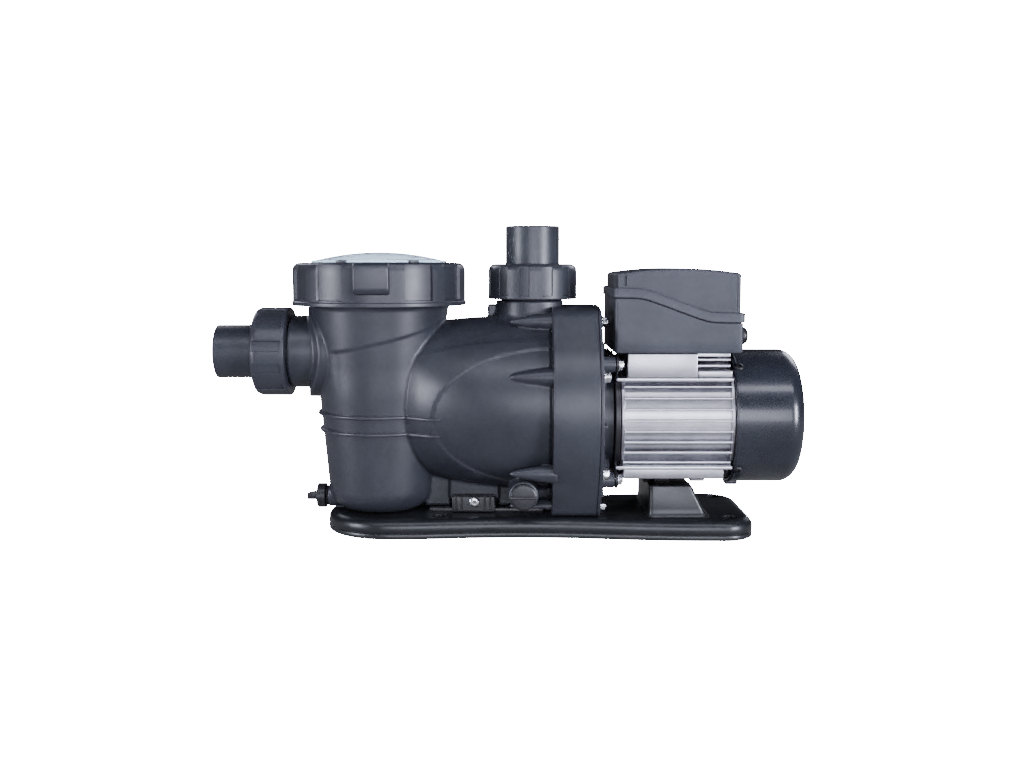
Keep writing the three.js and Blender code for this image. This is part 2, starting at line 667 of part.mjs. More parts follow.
function underCrown(drop) {
  const { middle, ends } = BOX_CROWN;
  const centre = (BOX_X[0] + BOX_X[1]) / 2;
  const shape = new THREE.Shape();
  shape.moveTo(-BOX_X[0] + 2, 150);
  shape.lineTo(-BOX_X[0] + 2, ends - drop);
  shape.quadraticCurveTo(-centre, 2 * middle - ends - drop, -BOX_X[1] - 2, ends - drop);
  shape.lineTo(-BOX_X[1] - 2, 150);
  shape.closePath();
  return extrude('y', shape, [-80, 80]);
}

function makeTerminalBox() {
  const glandHole = rod('x', 6.4, [200, 215], [0, 0, GLAND.z]);
  const lower = cut(
    extrude('z', boxPlan(0), [BOX_FLOOR, 240]).intersect(underSeam(0)),
    extrude('z', boxPlan(BOX_WALL), [BOX_FLOOR + BOX_WALL, 250]),
    glandHole,
  );
  addPart('terminal_box', lower, FINISH.boxMoulding);

  const skirt = extrude('z', boxPlan(-BOX_SKIRT.proud), [170, 250])
    .intersect(underSeam(BOX_SKIRT.height + GAP));
  const cap = extrude('z', boxPlan(BOX_CAP_INSET), [170, 250]).intersect(underCrown(0));
  const hollow = extrude('z', boxPlan(BOX_WALL + BOX_CAP_INSET), [160, 250])
    .intersect(underCrown(BOX_WALL));
  const rebate = extrude('z', boxPlan(BOX_WALL), [160, 250]).intersect(underSeam(5));
  const notch = box([107, 108.4], [-62, -56.4], [223, 231]);
  const cover = cut(skirt.add(cap), underSeam(GAP), hollow, rebate, notch);
  addPart('terminal_box_cover', cover, FINISH.boxMoulding);

  const lip = extrude('z', boxPlan(BOX_WALL + GAP), [170, 250])
    .subtract(extrude('z', boxPlan(BOX_WALL + 1.3), [160, 255]));
  addPart('box_gasket', lip.intersect(underSeam(3)).subtract(underSeam(-3)), FINISH.rubber);

  let block = box([118, 160], [-26, -6], [BOX_FLOOR + BOX_WALL + GAP, 178]);
  for (let x = 120; x < 158; x += 8) {
    block = block.add(box([x, x + 1.5], [-26, -6], [170, 184]));
  }
  addPart('terminal_block', block, FINISH.ceramic);
  const can = revolve('x', [[0, 116], [15, 116], [16, 118], [16, 184], [14, 187], [0, 187]],
    [0, 32, 186], 28);
  addPart('capacitor', can, FINISH.blackPlastic);

  const tube = revolve('x', [
    [3.6, -7], [6, -7], [6, 9.7], [3.6, 9.7], [3.6, -7],
  ], [GLAND.x, 0, GLAND.z]);
  addPart('gland_body', tube, FINISH.blackPlastic);
  const nut = revolve('x', [
    [6.3, 0.4], [8.4, 0.4], [8.4, 12], [7.6, 15.4], [5.6, 17], [3.6, 17], [3.6, 10.1],
    [6.3, 10.1], [6.3, 0.4],
  ], [GLAND.x, 0, GLAND.z]);
  addPart('gland_nut', nut, FINISH.blackPlastic);
}

// ---- fasteners ----
function hexHead([start, end], across, at) {
  return rod('x', across / Math.sqrt(3), [start, end], at);
}

function makeBolts() {
  flangeBoltPlaces.forEach(([y, z], i) => {
    const at = [0, y, z];
    const face = SEAL_PLATE_X[1] + GAP;
    const bolt = union(
      rod('x', 2.9, [60, 88], at),
      rod('x', 5.4, [face, face + 1.2], at),
      hexHead([face + 1.2, face + 5.2], 9, at),
    );
    addPart(`flange_bolt_${i + 1}`, bolt, FINISH.steel);
  });
  QUARTERS.forEach((angle, i) => {
    const [y, z] = quarterPlace(angle, MOTOR_BOLT_R);
    const at = [0, y, z];
    const bolt = union(
      rod('x', 2.9, [92, 102], at),
      rod('x', 5.6, [101.5, 102.4], at),
      hexHead([102.4, 105.9], 9, at),
    );
    addPart(`motor_bolt_${i + 1}`, bolt, FINISH.steel);
  });
}

// ---- lid and strainer ----
function makeLid() {
  const at = [POT_X, 0, 0];
  const crown = 253;
  const rimR = 62.7;
  const rim = 245.5;
  const bow = (lift, reach) => [0.5, 0.8, 1].map((part) => [
    reach * part,
    rim + lift + (crown - rim) * (1 - part * part),
  ]);
  const lens = revolve('z', [
    [0, crown - 4],
    ...bow(-4, rimR - 4),
    [rimR - 4, 234],
    [68, 234],
    [68, 238],
    [rimR, 238],
    [rimR, rim],
    ...bow(0, rimR).reverse().slice(1),
    [0, crown],
  ], at);
  addPart('lid_lens', lens, FINISH.lens);
  addPart('lid_o_ring', ring('z', [62.2, 67], [POT_RIM_Z + GAP, 233.7], at), FINISH.rubber);

  const [low, high] = RING_Z;
  let grip = revolve('z', [
    [72.2, low], [80.8, low], [80.8, low + 3.5], [RING_R, low + 4.5], [RING_R, high - 4],
    [RING_R - 4, high], [63.4, high], [63.4, 238.4], [72.2, 238.4],
    [72.2, low],
  ], at);
  const lugAngle = -87.5;
  for (let i = 0; i < 12; i += 1) {
    const angle = lugAngle + 30 * i;
    if (i % 6 !== 0) {
      const pocket = box([RING_R - 3.2, RING_R + 4], [-13, 13], [low + 5, high - 3.5]);
      grip = grip.subtract(turned('z', angle, pocket).translate(at));
    } else {
      const side = polygon([[-RING_R + 4, low + 14], [-RING_R + 4, high - 3], [-RING_R - 7, high - 3],
        [-RING_R - 9, high - 6], [-RING_R - 9, low + 17], [-RING_R - 6, low + 14]].reverse());
      const lug = extrude('y', side, [-14, 14]);
      grip = grip.add(turned('z', angle, lug).translate(at));
    }
  }
  addPart('lid_ring', grip, FINISH.moulding);
}

function makeBasket() {
  const at = [POT_X, 0, 0];
  const rim = LEDGE_Z + GAP;
  const wall = 2;
  const shell = revolve('z', [
    [0, 60], [41, 60], [43, 62], [55, rim], [61, rim], [61, rim + 3], [53, rim + 3],
    [41.5, 64], [39.5, 62.4], [0, 62.4],
  ], at);
  const tools = [rod('x', 23, [-190, -140], [0, 0, INLET_Z])];
  for (let i = 0; i < 10; i += 1) {
    const angle = 36 * (i + 0.5);
    tools.push(turned('z', angle, box([36, 62], [-3, 3], [70, 122])).translate(at));
    const facesInlet = Math.abs(angle - 180) < 40;
    if (!facesInlet) tools.push(turned('z', angle, box([36, 62], [-3, 3], [130, 182])).translate(at));
  }
  for (let i = 0; i < 6; i += 1) {
    tools.push(turned('z', 60 * i, box([8, 32], [-3, 3], [55, 66])).translate(at));
  }
  const bail = ring('y', [50, 54], [-3, 3], [0, 0, 0]).intersect(box([-60, 60], [-5, 5], [0, 60]));
  const handle = bail.transform([1, 0, 0, 0, 0, 1, 0, 0, 0, 0, 0.44, 0, 0, 0, 0, 1]);
  const basket = cut(shell, ...tools).add(handle.translate([POT_X, 0, rim + 1.5]));
  addPart('strainer_basket', basket, FINISH.basket);
}

// ---- pipe unions ----
// Built along +Z with the nut's pump-side face at zero, then placed on its port.
function makeUnion(prefix, gripAngle, pipeEnd, place) {
  const nutLength = 32.4;
  const nutR = 41.3;
  let nut = revolve('z', [
    [THREAD_R + 0.7, 0], [nutR - 0.8, 0], [nutR, 1], [nutR, nutLength - 5],
    [nutR - 1.5, nutLength - 1.5], [nutR - 5, nutLength], [PIPE_R + 0.6, nutLength],
    [PIPE_R + 0.6, 26.6], [THREAD_R + 0.7, 26.6], [THREAD_R + 0.7, 0],
  ], [0, 0, 0]);
  for (let i = 0; i < 5; i += 1) {
    for (const edge of [0, 14, 43]) {
      const line = box([nutR - 1.3, nutR + 2], [-0.6, 0.6], [5.5, nutLength - 6.4]);
      nut = nut.subtract(turned('z', gripAngle + 72 * i + edge, line));
    }
  }
  addPart(`${prefix}_union_nut`, place(nut), FINISH.moulding);
  const seal = ring('z', [22.5, 28], [THREAD_LENGTH + GAP, 21.9], [0, 0, 0]);
  addPart(`${prefix}_union_o_ring`, place(seal), FINISH.rubber);
  const tail = revolve('z', [
    [PIPE_BORE_R + 0.5, 22.2], [30.4, 22.2], [30.4, 26.3], [PIPE_R, 26.3], [PIPE_R, pipeEnd - 1],
    [PIPE_R - 0.8, pipeEnd], [PIPE_BORE_R + 0.5, pipeEnd], [PIPE_BORE_R + 0.5, 22.2],
  ], [0, 0, 0]);
  addPart(`${prefix}_tailpiece`, place(tail), FINISH.moulding);
}

function makeUnions() {
  const inletPlace = (body) => body.rotate([0, -90, 0]).translate([INLET_FACE_X, 0, INLET_Z]);
  makeUnion('inlet', 250.5, INLET_FACE_X + LENGTH_END, inletPlace);
  const outletPlace = (body) => body.translate([OUTLET_X, 0, OUTLET_FACE_Z]);
  makeUnion('outlet', 252, OUTLET_END_Z - OUTLET_FACE_Z, outletPlace);
}

// ---- drain plugs ----
function makePlugs() {
  const at = [FRONT_PLUG.x, 0, FRONT_PLUG.z];
  const start = FRONT_PLUG.face - 2.3;
  const head = revolve('y', [
    [0, -FRONT_PLUG.head], [10.6, -FRONT_PLUG.head], [11.85, 1.2 - FRONT_PLUG.head],
    [11.85, start], [6.6, start], [6.6, -54], [0, -54],
  ], at);
  const slot = box([0, 32], [-79, 2.2 - FRONT_PLUG.head], [FRONT_PLUG.z - 1.6, FRONT_PLUG.z + 1.6]);
  addPart('front_drain_plug', head.subtract(slot), FINISH.blackPlastic);
  const frontSeal = ring('y', [7.2, 10.4], [FRONT_PLUG.face - 2, FRONT_PLUG.face - GAP], at);
  addPart('front_drain_o_ring', frontSeal, FINISH.rubber);

  const axis = [0, 0, PLUG_Z];
  const shank = rod('x', 4.3, [POT_PLUG.face - 3, -152], axis);
  const cap = rod('x', 11.65, [POT_PLUG.head, POT_PLUG.face - 2.3], axis);
  const tab = polygon([[-POT_PLUG.head - 1, PLUG_Z - 4], [-POT_PLUG.tab, PLUG_Z - 4],
    [-POT_PLUG.tab, PLUG_Z + 1.9], [-POT_PLUG.head - 1, PLUG_Z + 4.9]]);
  const wing = extrude('y', tab, [-2, 2]);
  addPart('pot_drain_plug', union(shank, cap, wing), FINISH.blackPlastic);
  const potSeal = ring('x', [6.4, 9.6], [POT_PLUG.face - 2, POT_PLUG.face - GAP], axis);
  addPart('pot_drain_o_ring', potSeal, FINISH.rubber);
}

makeBase();
makeClamp();
makeHousing();
makeSealPlate();
makeSeal();
makeImpeller();
makeRotor();
makeStator();
makeShields();
makeFrame();
makeFanCover();
makeTerminalBox();
makeBolts();
makeLid();
makeBasket();
makeUnions();
makePlugs();

export default pump;
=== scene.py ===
"""Looks of a pool pump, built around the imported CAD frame. Metres, +X along the shaft, +Z up."""

import json
import math
from functools import reduce

import bmesh
import bpy
import numpy as np
from mathutils import Matrix, Vector


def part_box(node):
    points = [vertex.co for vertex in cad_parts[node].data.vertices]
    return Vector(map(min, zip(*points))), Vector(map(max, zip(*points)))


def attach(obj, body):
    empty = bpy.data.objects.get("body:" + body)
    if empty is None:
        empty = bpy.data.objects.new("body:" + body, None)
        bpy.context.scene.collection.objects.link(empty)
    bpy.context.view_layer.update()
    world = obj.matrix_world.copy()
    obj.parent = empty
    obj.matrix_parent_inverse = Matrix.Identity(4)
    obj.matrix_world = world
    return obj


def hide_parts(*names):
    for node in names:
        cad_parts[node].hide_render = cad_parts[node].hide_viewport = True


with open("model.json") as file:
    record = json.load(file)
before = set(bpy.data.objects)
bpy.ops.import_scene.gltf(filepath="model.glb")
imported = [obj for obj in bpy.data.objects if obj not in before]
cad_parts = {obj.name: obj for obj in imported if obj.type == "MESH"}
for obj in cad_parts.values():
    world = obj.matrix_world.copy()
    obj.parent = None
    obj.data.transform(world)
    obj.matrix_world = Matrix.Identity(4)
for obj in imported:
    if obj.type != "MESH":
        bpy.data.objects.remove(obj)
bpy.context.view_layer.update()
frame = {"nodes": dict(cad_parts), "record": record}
MM = 0.001
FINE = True


# ---- places taken from the frame
# Everything above the base plate is drawn with the shaft at SHAFT_Z, then raised by LIFT.
SHAFT_Z = 100.0
GROUND_NODES = ("base_plate", "motor_rest_pad", "clamp_block", "clamp_bolt")


shaft_low, shaft_high = (Vector(corner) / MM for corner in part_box("motor_shaft"))
LIFT = ((shaft_low + shaft_high) / 2).z - SHAFT_Z


def node_corner(node, which):
    corner = Vector(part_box(node)[which]) / MM
    if node not in GROUND_NODES:
        corner.z -= LIFT
    return corner


def low(node):
    return node_corner(node, 0)


def high(node):
    return node_corner(node, 1)


def middle(node):
    return (low(node) + high(node)) / 2


POT_X = middle("lid_lens").x
INLET_Z = middle("inlet_tailpiece").z
OUTLET_X = middle("outlet_tailpiece").x
BASE_LOW, BASE_HIGH = low("base_plate"), high("base_plate")
ON_SHAFT = (0, 0, SHAFT_Z)
ON_POT = (POT_X, 0, 0)


# ---- mesh helpers, all in millimetres
SHARP = 35.0  # edges steeper than this many degrees stay crisp


def linked(name, data):
    obj = bpy.data.objects.new(name, data)
    bpy.context.scene.collection.objects.link(obj)
    return obj


def shade(mesh, sharp):
    mesh.shade_smooth()
    mesh.set_sharp_from_angle(angle=math.radians(sharp))


def finished(obj, sharp=SHARP):
    bm = bmesh.new()
    bm.from_mesh(obj.data)
    bmesh.ops.remove_doubles(bm, verts=bm.verts, dist=1e-6)
    bmesh.ops.recalc_face_normals(bm, faces=bm.faces)
    bm.to_mesh(obj.data)
    bm.free()
    shade(obj.data, sharp)
    return obj


def new_object(name, verts, faces, sharp=SHARP):
    mesh = bpy.data.meshes.new(name)
    mesh.from_pydata((np.asarray(verts, dtype=float) * MM).tolist(), [], faces)
    mesh.validate()
    return finished(linked(name, mesh), sharp)


def from_bmesh(name, bm):
    for v in bm.verts:
        v.co *= MM
    mesh = bpy.data.meshes.new(name)
    bm.to_mesh(mesh)
    bm.free()
    return finished(linked(name, mesh))


def join(name, objects, sharp=SHARP):
    """One object from several closed shells."""
    bm = bmesh.new()
    for obj in objects:
        bm.from_mesh(obj.data)
        bpy.data.objects.remove(obj)
    mesh = bpy.data.meshes.new(name)
    bm.to_mesh(mesh)
    bm.free()
    shade(mesh, sharp)
    return linked(name, mesh)


def carve(obj, tools, operation="DIFFERENCE"):
    """Boolean of obj with each tool; the tools are used up."""
    for tool in tools:
        cut = obj.modifiers.new("cut", "BOOLEAN")
        cut.operation = operation
        cut.solver = "EXACT"
        cut.object = tool
    bpy.context.view_layer.update()
    graph = bpy.context.evaluated_depsgraph_get()
    mesh = bpy.data.meshes.new_from_object(obj.evaluated_get(graph))
    obj.modifiers.clear()
    old = obj.data
    obj.data = mesh
    bpy.data.meshes.remove(old)
    finished(obj)
    for tool in tools:
        bpy.data.objects.remove(tool)
    return obj


AXES = {
    "x": Matrix(((0, 0, 1), (1, 0, 0), (0, 1, 0))),
    "y": Matrix(((1, 0, 0), (0, 0, 1), (0, 1, 0))),
    "z": Matrix.Identity(3),
}


def place(points, axis, at):
    """Local points, whose third axis is the piece's own axis, into the frame."""
    turn = np.array(AXES[axis])
    return np.asarray(points, dtype=float) @ turn.T + np.array(at, dtype=float)


def bend(start, corner, end, steps=6):
    """A smooth turn from start to end that leans towards the corner."""
    start, corner, end = Vector(start), Vector(corner), Vector(end)
    places = [i / steps for i in range(steps + 1)]
    return [tuple(start * (1 - s) ** 2 + corner * (2 * s * (1 - s)) + end * s ** 2) for s in places]


def rounded(corners, steps=4):
    """A profile of (radius, place, fillet) corners as points, with each corner rounded."""
    points = []
    for i, (r, t, fillet) in enumerate(corners):
        here = Vector((r, t))
        if fillet <= 0:
            points.append(tuple(here))
            continue
        a = Vector(corners[i - 1][:2]) - here
        b = Vector(corners[(i + 1) % len(corners)][:2]) - here
        reach = min(fillet, a.length * 0.49, b.length * 0.49)
        points += bend(here + a.normalized() * reach, here, here + b.normalized() * reach, steps)
    return points


def turn_faces(rings, around, closed):
    faces = []
    last = rings if closed else rings - 1
    for i in range(last):
        j = (i + 1) % rings
        for k in range(around):
            m = (k + 1) % around
            faces.append((i * around + k, i * around + m, j * around + m, j * around + k))
    return faces


def revolve(name, profile, axis="x", at=ON_SHAFT, segments=96, relief=None, angles=None,
            sharp=SHARP):
    """A closed profile ring turned about an axis. relief(angle, place, radius) cuts into it."""
    if angles is None:
        angles = np.linspace(0, 2 * math.pi, segments, endpoint=False)
    verts = []
    for radius, t in profile:
        for angle in angles:
            r = radius - (relief(angle, t, radius) if relief else 0.0)
            verts.append((r * math.cos(angle), r * math.sin(angle), t))
    faces = turn_faces(len(profile), len(angles), True)
    return new_object(name, place(verts, axis, at), faces, sharp)


def solid_turn(name, profile, axis="x", at=ON_SHAFT, segments=96):
    """A profile that starts and ends on the axis, turned about it."""
    verts = []
    inner = profile[1:-1]
    for radius, t in inner:
        for k in range(segments):
            angle = 2 * math.pi * k / segments
            verts.append((radius * math.cos(angle), radius * math.sin(angle), t))
    faces = turn_faces(len(inner), segments, False)
    for end, ring in ((profile[0], 0), (profile[-1], len(inner) - 1)):
        verts.append((0, 0, end[1]))
        tip = len(verts) - 1
        for k in range(segments):
            faces.append((tip, ring * segments + k, ring * segments + (k + 1) % segments))
    return new_object(name, place(verts, axis, at), faces)


def rod(name, radius, start, end, axis="x", at=ON_SHAFT, segments=96):
    profile = [(0, start), (radius, start), (radius, end), (0, end)]
    return solid_turn(name, profile, axis, at, segments)


def section(inner, outer, start, end, *fillets):
    """The profile of a plain ring, with one fillet for all four corners or one for each."""
    corners = ((inner, start), (outer, start), (outer, end), (inner, end))
    fillets = fillets * 4 if len(fillets) == 1 else fillets
    return rounded([(*corner, fillet) for corner, fillet in zip(corners, fillets)])


def loft(name, loops):
    """Skin over loops with equal point counts; the ends are capped."""
    around = len(loops[0])
    verts = [p for loop in loops for p in loop]
    faces = turn_faces(len(loops), around, False)
    faces.append(tuple(range(around - 1, -1, -1)))
    faces.append(tuple(range(len(verts) - around, len(verts))))
    return new_object(name, verts, faces)


def block(name, x, y, z, bevel, steps=3):
    """A box with rounded edges."""
    bm = bmesh.new()
    bmesh.ops.create_cube(bm, size=1.0)
    size = Vector((x[1] - x[0], y[1] - y[0], z[1] - z[0]))
    mid = Vector((x[1] + x[0], y[1] + y[0], z[1] + z[0])) / 2
    for v in bm.verts:
        v.co = Vector((v.co.x * size.x, v.co.y * size.y, v.co.z * size.z)) + mid
    bmesh.ops.bevel(bm, geom=bm.edges, offset=bevel, segments=steps, affect="EDGES", profile=0.5)
    return from_bmesh(name, bm)


def prism(name, outline, span, axis, bevel, steps=3):
    """An outline pushed along an axis, with rounded rims."""
    verts = [(a, b, t) for t in span for a, b in outline]
    count = len(outline)
    faces = [tuple(range(count - 1, -1, -1)), tuple(range(count, 2 * count))]
    faces += turn_faces(2, count, False)
    bm = bmesh.new()
    made = [bm.verts.new(p) for p in place(verts, axis, (0, 0, 0))]
    for face in faces:
        bm.faces.new([made[i] for i in face])
    bmesh.ops.recalc_face_normals(bm, faces=bm.faces)
    if bevel > 0:
        rims = [e for e in bm.edges if e.calc_face_angle(0.0) > math.radians(40)]
        bmesh.ops.bevel(bm, geom=rims, offset=bevel, segments=steps, affect="EDGES",
                        profile=0.5, clamp_overlap=True)
    return from_bmesh(name, bm)


def moved(obj, by):
    obj.data.transform(Matrix.Translation(Vector(by) * MM))
    return obj


def turned(obj, axis, degrees, at):
    """Turns a piece's mesh about an axis through a place in millimetres."""
    spot = Matrix.Translation(Vector(at) * MM)
    turn = Matrix.Rotation(math.radians(degrees), 4, axis.upper())
    obj.data.transform(spot @ turn @ spot.inverted())
    return obj


def round_shaft(obj, degrees):
    """A piece drawn about the origin, moved on to the shaft and turned there."""
    return turned(moved(obj, ON_SHAFT), "x", degrees, ON_SHAFT)


def round_pot(obj, degrees):
    return turned(moved(obj, ON_POT), "z", degrees, ON_POT)


# ---- materials
MATS = {}


def feed(tree, node, inputs):
    """Sets each named socket to a value, or links another node's output to it."""
    for socket, value in inputs.items():
        if isinstance(value, bpy.types.NodeSocket):
            tree.links.new(value, node.inputs[socket])
        else:
            node.inputs[socket].default_value = value


def add(tree, kind, inputs, **settings):
    node = tree.nodes.new(f"ShaderNode{kind}")
    for setting, value in settings.items():
        setattr(node, setting, value)
    feed(tree, node, inputs)
    return node


def material(name):
    mat = bpy.data.materials.new(name)
    mat.use_nodes = True
    tree = mat.node_tree
    MATS[name] = mat
    return tree, tree.nodes["Principled BSDF"], add(tree, "TexCoord", {}).outputs["Object"]


def noise(tree, coords, scale, detail, stretch=(1, 1, 1)):
    mapping = add(tree, "Mapping", {"Vector": coords, "Scale": stretch})
    settings = {"Scale": scale, "Detail": detail, "Roughness": 0.55}
    return add(tree, "TexNoise", {"Vector": mapping.outputs["Vector"], **settings}).outputs["Fac"]


def ramp(tree, value, stops):
    node = add(tree, "ValToRGB", {"Fac": value})
    for element, (spot, color) in zip(node.color_ramp.elements, stops):
        element.position = spot
        element.color = (*color, 1.0)
    return node.outputs["Color"]


def mixed(tree, factor, first, second):
    """The first colour turned towards the second, which is the same all over."""
    inputs = {"Factor": factor, "A": first, "B": (*second, 1.0)}
    return add(tree, "Mix", inputs, data_type="RGBA").outputs["Result"]


def mapped(tree, value, **ends):
    """A value put through a range; from_min=0.5 sets the socket From Min."""
    inputs = {name.replace("_", " ").title(): end for name, end in ends.items()}
    return add(tree, "MapRange", {"Value": value, **inputs}).outputs["Result"]


def bump(tree, shader, heights):
    """Stacked bumps: (value, strength, distance in millimetres)."""
    normal = {}
    for value, strength, depth in heights:
        inputs = {"Height": value, "Strength": strength, "Distance": depth * MM}
        normal = {"Normal": add(tree, "Bump", {**inputs, **normal}).outputs["Normal"]}
    feed(tree, shader, normal)


def worn_and_highlit_edges(tree, amount):
    """Where convex edges have been rubbed, with a painted highlight along them."""
    pointed = add(tree, "NewGeometry", {}).outputs["Pointiness"]
    return mapped(tree, pointed, from_min=0.52, from_max=0.62, to_max=amount)


def painted_corner_shade(tree):
    """Painted shade that darkens concave corners."""
    pointed = add(tree, "NewGeometry", {}).outputs["Pointiness"]
    return mapped(tree, pointed, from_min=0.49, from_max=0.42, to_max=0.85)


def tint(color, gain, lift=0.0):
    return tuple(min(1.0, c * gain + lift) for c in color)


def plastic(name, color, roughness, grain, wear_and_highlight=0.25, coat=0.0, depth=0.05):
    """Moulded plastic: slight mottling, fine spark grain, dust, and rubbed edges with a painted
    highlight.
    """
    tree, shader, coords = material(name)
    cloud = noise(tree, coords, 22.0, 5.0)
    base = ramp(tree, cloud, [(0.3, tint(color, 0.86)), (0.7, tint(color, 1.14, 0.004))])
    speck = ramp(tree, noise(tree, coords, 900.0, 2.0), [(0.62, (0, 0, 0)), (0.78, (1, 1, 1))])
    dust = add(tree, "Math", {0: speck, 1: 0.2}, operation="MULTIPLY").outputs[0]
    dusted = mixed(tree, dust, base, tint(color, 1.4, 0.01))
    sheen = noise(tree, coords, 60.0, 6.0)
    feed(tree, shader, {
        # Convex edges lighter: partly wear, partly a painted highlight.
        "Base Color": mixed(tree, worn_and_highlit_edges(tree, wear_and_highlight), dusted, tint(color, 2.0, 0.05)),
        "Roughness": mapped(tree, sheen, to_min=roughness - 0.06, to_max=roughness + 0.08),
    })
    if coat:
        feed(tree, shader, {"Coat Weight": coat, "Coat Roughness": 0.12})
    bump(tree, shader, [(cloud, 0.03, 0.12), (noise(tree, coords, 2200.0, 3.0), grain, depth)])


def metal(name, color, roughness, grain, stretch=(1, 1, 1), scale=900.0, stain=0.25):
    """Bare metal: cast or drawn grain, faint staining, uneven polish, painted shade in concave
    corners and a painted highlight on rubbed convex edges such as the fin tips.
    """
    tree, shader, coords = material(name)
    cloud = noise(tree, coords, 35.0, 6.0)
    base = ramp(tree, cloud, [(0.32, tint(color, 1 - stain)), (0.62, color)])
    # Painted shade: concave corners, such as the gaps between fins, darkened.
    corner_shaded = mixed(tree, painted_corner_shade(tree), base, tint(color, 0.22))
    fine = noise(tree, coords, scale, 3.0, stretch)
    feed(tree, shader, {
        # Painted highlight with some wear: convex edges such as the fin tips made much lighter.
        "Base Color": mixed(tree, worn_and_highlit_edges(tree, 0.7), corner_shaded, tint(color, 1.4, 0.3)),
        "Metallic": 1.0,
        "Roughness": mapped(tree, fine, to_min=roughness - 0.08, to_max=roughness + 0.12),
    })
    bump(tree, shader, [(cloud, 0.02, 0.1), (fine, grain, 0.04)])


def clear_plastic(name, color):
    """Moulded polycarbonate with a faint blue cast and fine scuffs."""
    tree, shader, coords = material(name)
    cloud = noise(tree, coords, 30.0, 4.0)
    scuff = noise(tree, coords, 700.0, 5.0, (1, 0.2, 1))
    feed(tree, shader, {
        "Base Color": ramp(tree, cloud, [(0.35, tint(color, 0.94)), (0.65, color)]),
        "Roughness": mapped(tree, scuff, to_min=0.05, to_max=0.2),
        "Transmission Weight": 0.75,
        "IOR": 1.5,
    })
    bump(tree, shader, [(scuff, 0.08, 0.03)])


plastic("housing_moulding", (0.021, 0.023, 0.030), 0.38, 0.3)
plastic("base_moulding", (0.005, 0.006, 0.0075), 0.34, 0.35)
plastic("box_moulding", (0.026, 0.028, 0.037), 0.50, 0.45, depth=0.07)
plastic("fan_cover_plastic", (0.013, 0.015, 0.021), 0.26, 0.12, coat=0.25)
plastic("black_plastic", (0.006, 0.006, 0.0075), 0.38, 0.3)
plastic("internal_plastic", (0.03, 0.03, 0.034), 0.5, 0.4)
plastic("basket_plastic", (0.62, 0.64, 0.66), 0.45, 0.3, wear_and_highlight=0.0)
clear_plastic("clear_lens", (0.72, 0.83, 0.95))
plastic("rubber", (0.004, 0.004, 0.0045), 0.78, 0.5, wear_and_highlight=0.1)
metal("aluminium", (0.40, 0.40, 0.43), 0.32, 0.4, (0.15, 1, 1))
metal("bright_steel", (0.93, 0.93, 0.95), 0.2, 0.1, stain=0.08)
metal("ground_steel", (0.60, 0.60, 0.62), 0.25, 0.2, (0.05, 1, 1))
metal("lamination", (0.30, 0.30, 0.32), 0.45, 0.5, (12, 0.3, 0.3), 400.0)
metal("copper", (0.72, 0.33, 0.16), 0.35, 0.4, (0.2, 1, 1))
plastic("ceramic", (0.78, 0.74, 0.66), 0.4, 0.25, wear_and_highlight=0.0)

SLOT_OF = {row["node"]: row["material_slot"] for row in frame["record"]["subparts"]}
BODY_OF = {
    node: body for body, nodes in frame["record"]["behaviour"]["bodies"].items() for node in nodes
}
for node_name, node_object in frame["nodes"].items():
    node_object.data.materials.clear()
    node_object.data.materials.append(MATS[SLOT_OF[node_name]])


def dress(obj, node):
    """Gives a piece the finish and body of a CAD node, and lets it stand for that node."""
    if node not in GROUND_NODES:
        moved(obj, (0, 0, LIFT))
    obj.data.materials.clear()
    obj.data.materials.append(MATS[SLOT_OF[node]])
    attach(obj, BODY_OF[node])
    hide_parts(node)


# ---- pump housing as one smooth skin
def union_round(a, b, radius):
    corner = np.hypot(np.maximum(radius - a, 0), np.maximum(radius - b, 0))
    return np.maximum(radius, np.minimum(a, b)) - corner


def meet_round(a, b, radius):
    corner = np.hypot(np.maximum(radius + a, 0), np.maximum(radius + b, 0))
    return np.minimum(-radius, np.maximum(a, b)) + corner


def step_up(value, start, end):
    s = np.clip((value - start) / (end - start), 0, 1)
    return s * s * (3 - 2 * s)


FLANGE_LEFT = 42.0
FLANGE_RIGHT = low("seal_plate").x + 9 - 0.3
POT_FLOOR = 12.3
NECK_R = 33.7
THREAD_R = 30.6
INLET_FACE = high("inlet_union_nut").x
OUTLET_FACE = low("outlet_union_nut").z
RIM_Z = low("lid_o_ring").z - 0.3
PLUG_AT = middle("pot_drain_o_ring")
FRONT_PLUG_AT = middle("front_drain_o_ring")


def pot_radius(z):
    return 64.0 - 15.0 * (201.0 - z) / 168.0


def volute_section(x):
    back = np.clip(FLANGE_LEFT - x, 0, 152)
    half = 88 * np.sqrt(1 - (back / 159.5) ** 2)
    top = 112 + 83 * np.sqrt(1 - (back / 292) ** 2)
    bottom = 112 - 79 * np.sqrt(1 - (back / 210) ** 2)
    return half, (top + bottom) / 2, (top - bottom) / 2


def tube(across_a, across_b, along, radius, start, end, edge=0.8):
    side = np.hypot(across_a, across_b) - radius
    ends = np.maximum(start - along, along - end)
    return meet_round(side, ends, edge)


def slab(x, y, z, low_corner, high_corner, edge):
    mid = [(a + b) / 2 for a, b in zip(low_corner, high_corner)]
    half = [(b - a) / 2 - edge for a, b in zip(low_corner, high_corner)]
    reach = [np.abs(v - m) - h for v, m, h in zip((x, y, z), mid, half)]
    outside = np.sqrt(sum(np.maximum(r, 0) ** 2 for r in reach))
    furthest = np.maximum(np.maximum(reach[0], reach[1]), reach[2])
    return outside + np.minimum(furthest, 0) - edge


FLANGE_BOLTS = [middle(f"flange_bolt_{i}") for i in range(1, 9)]


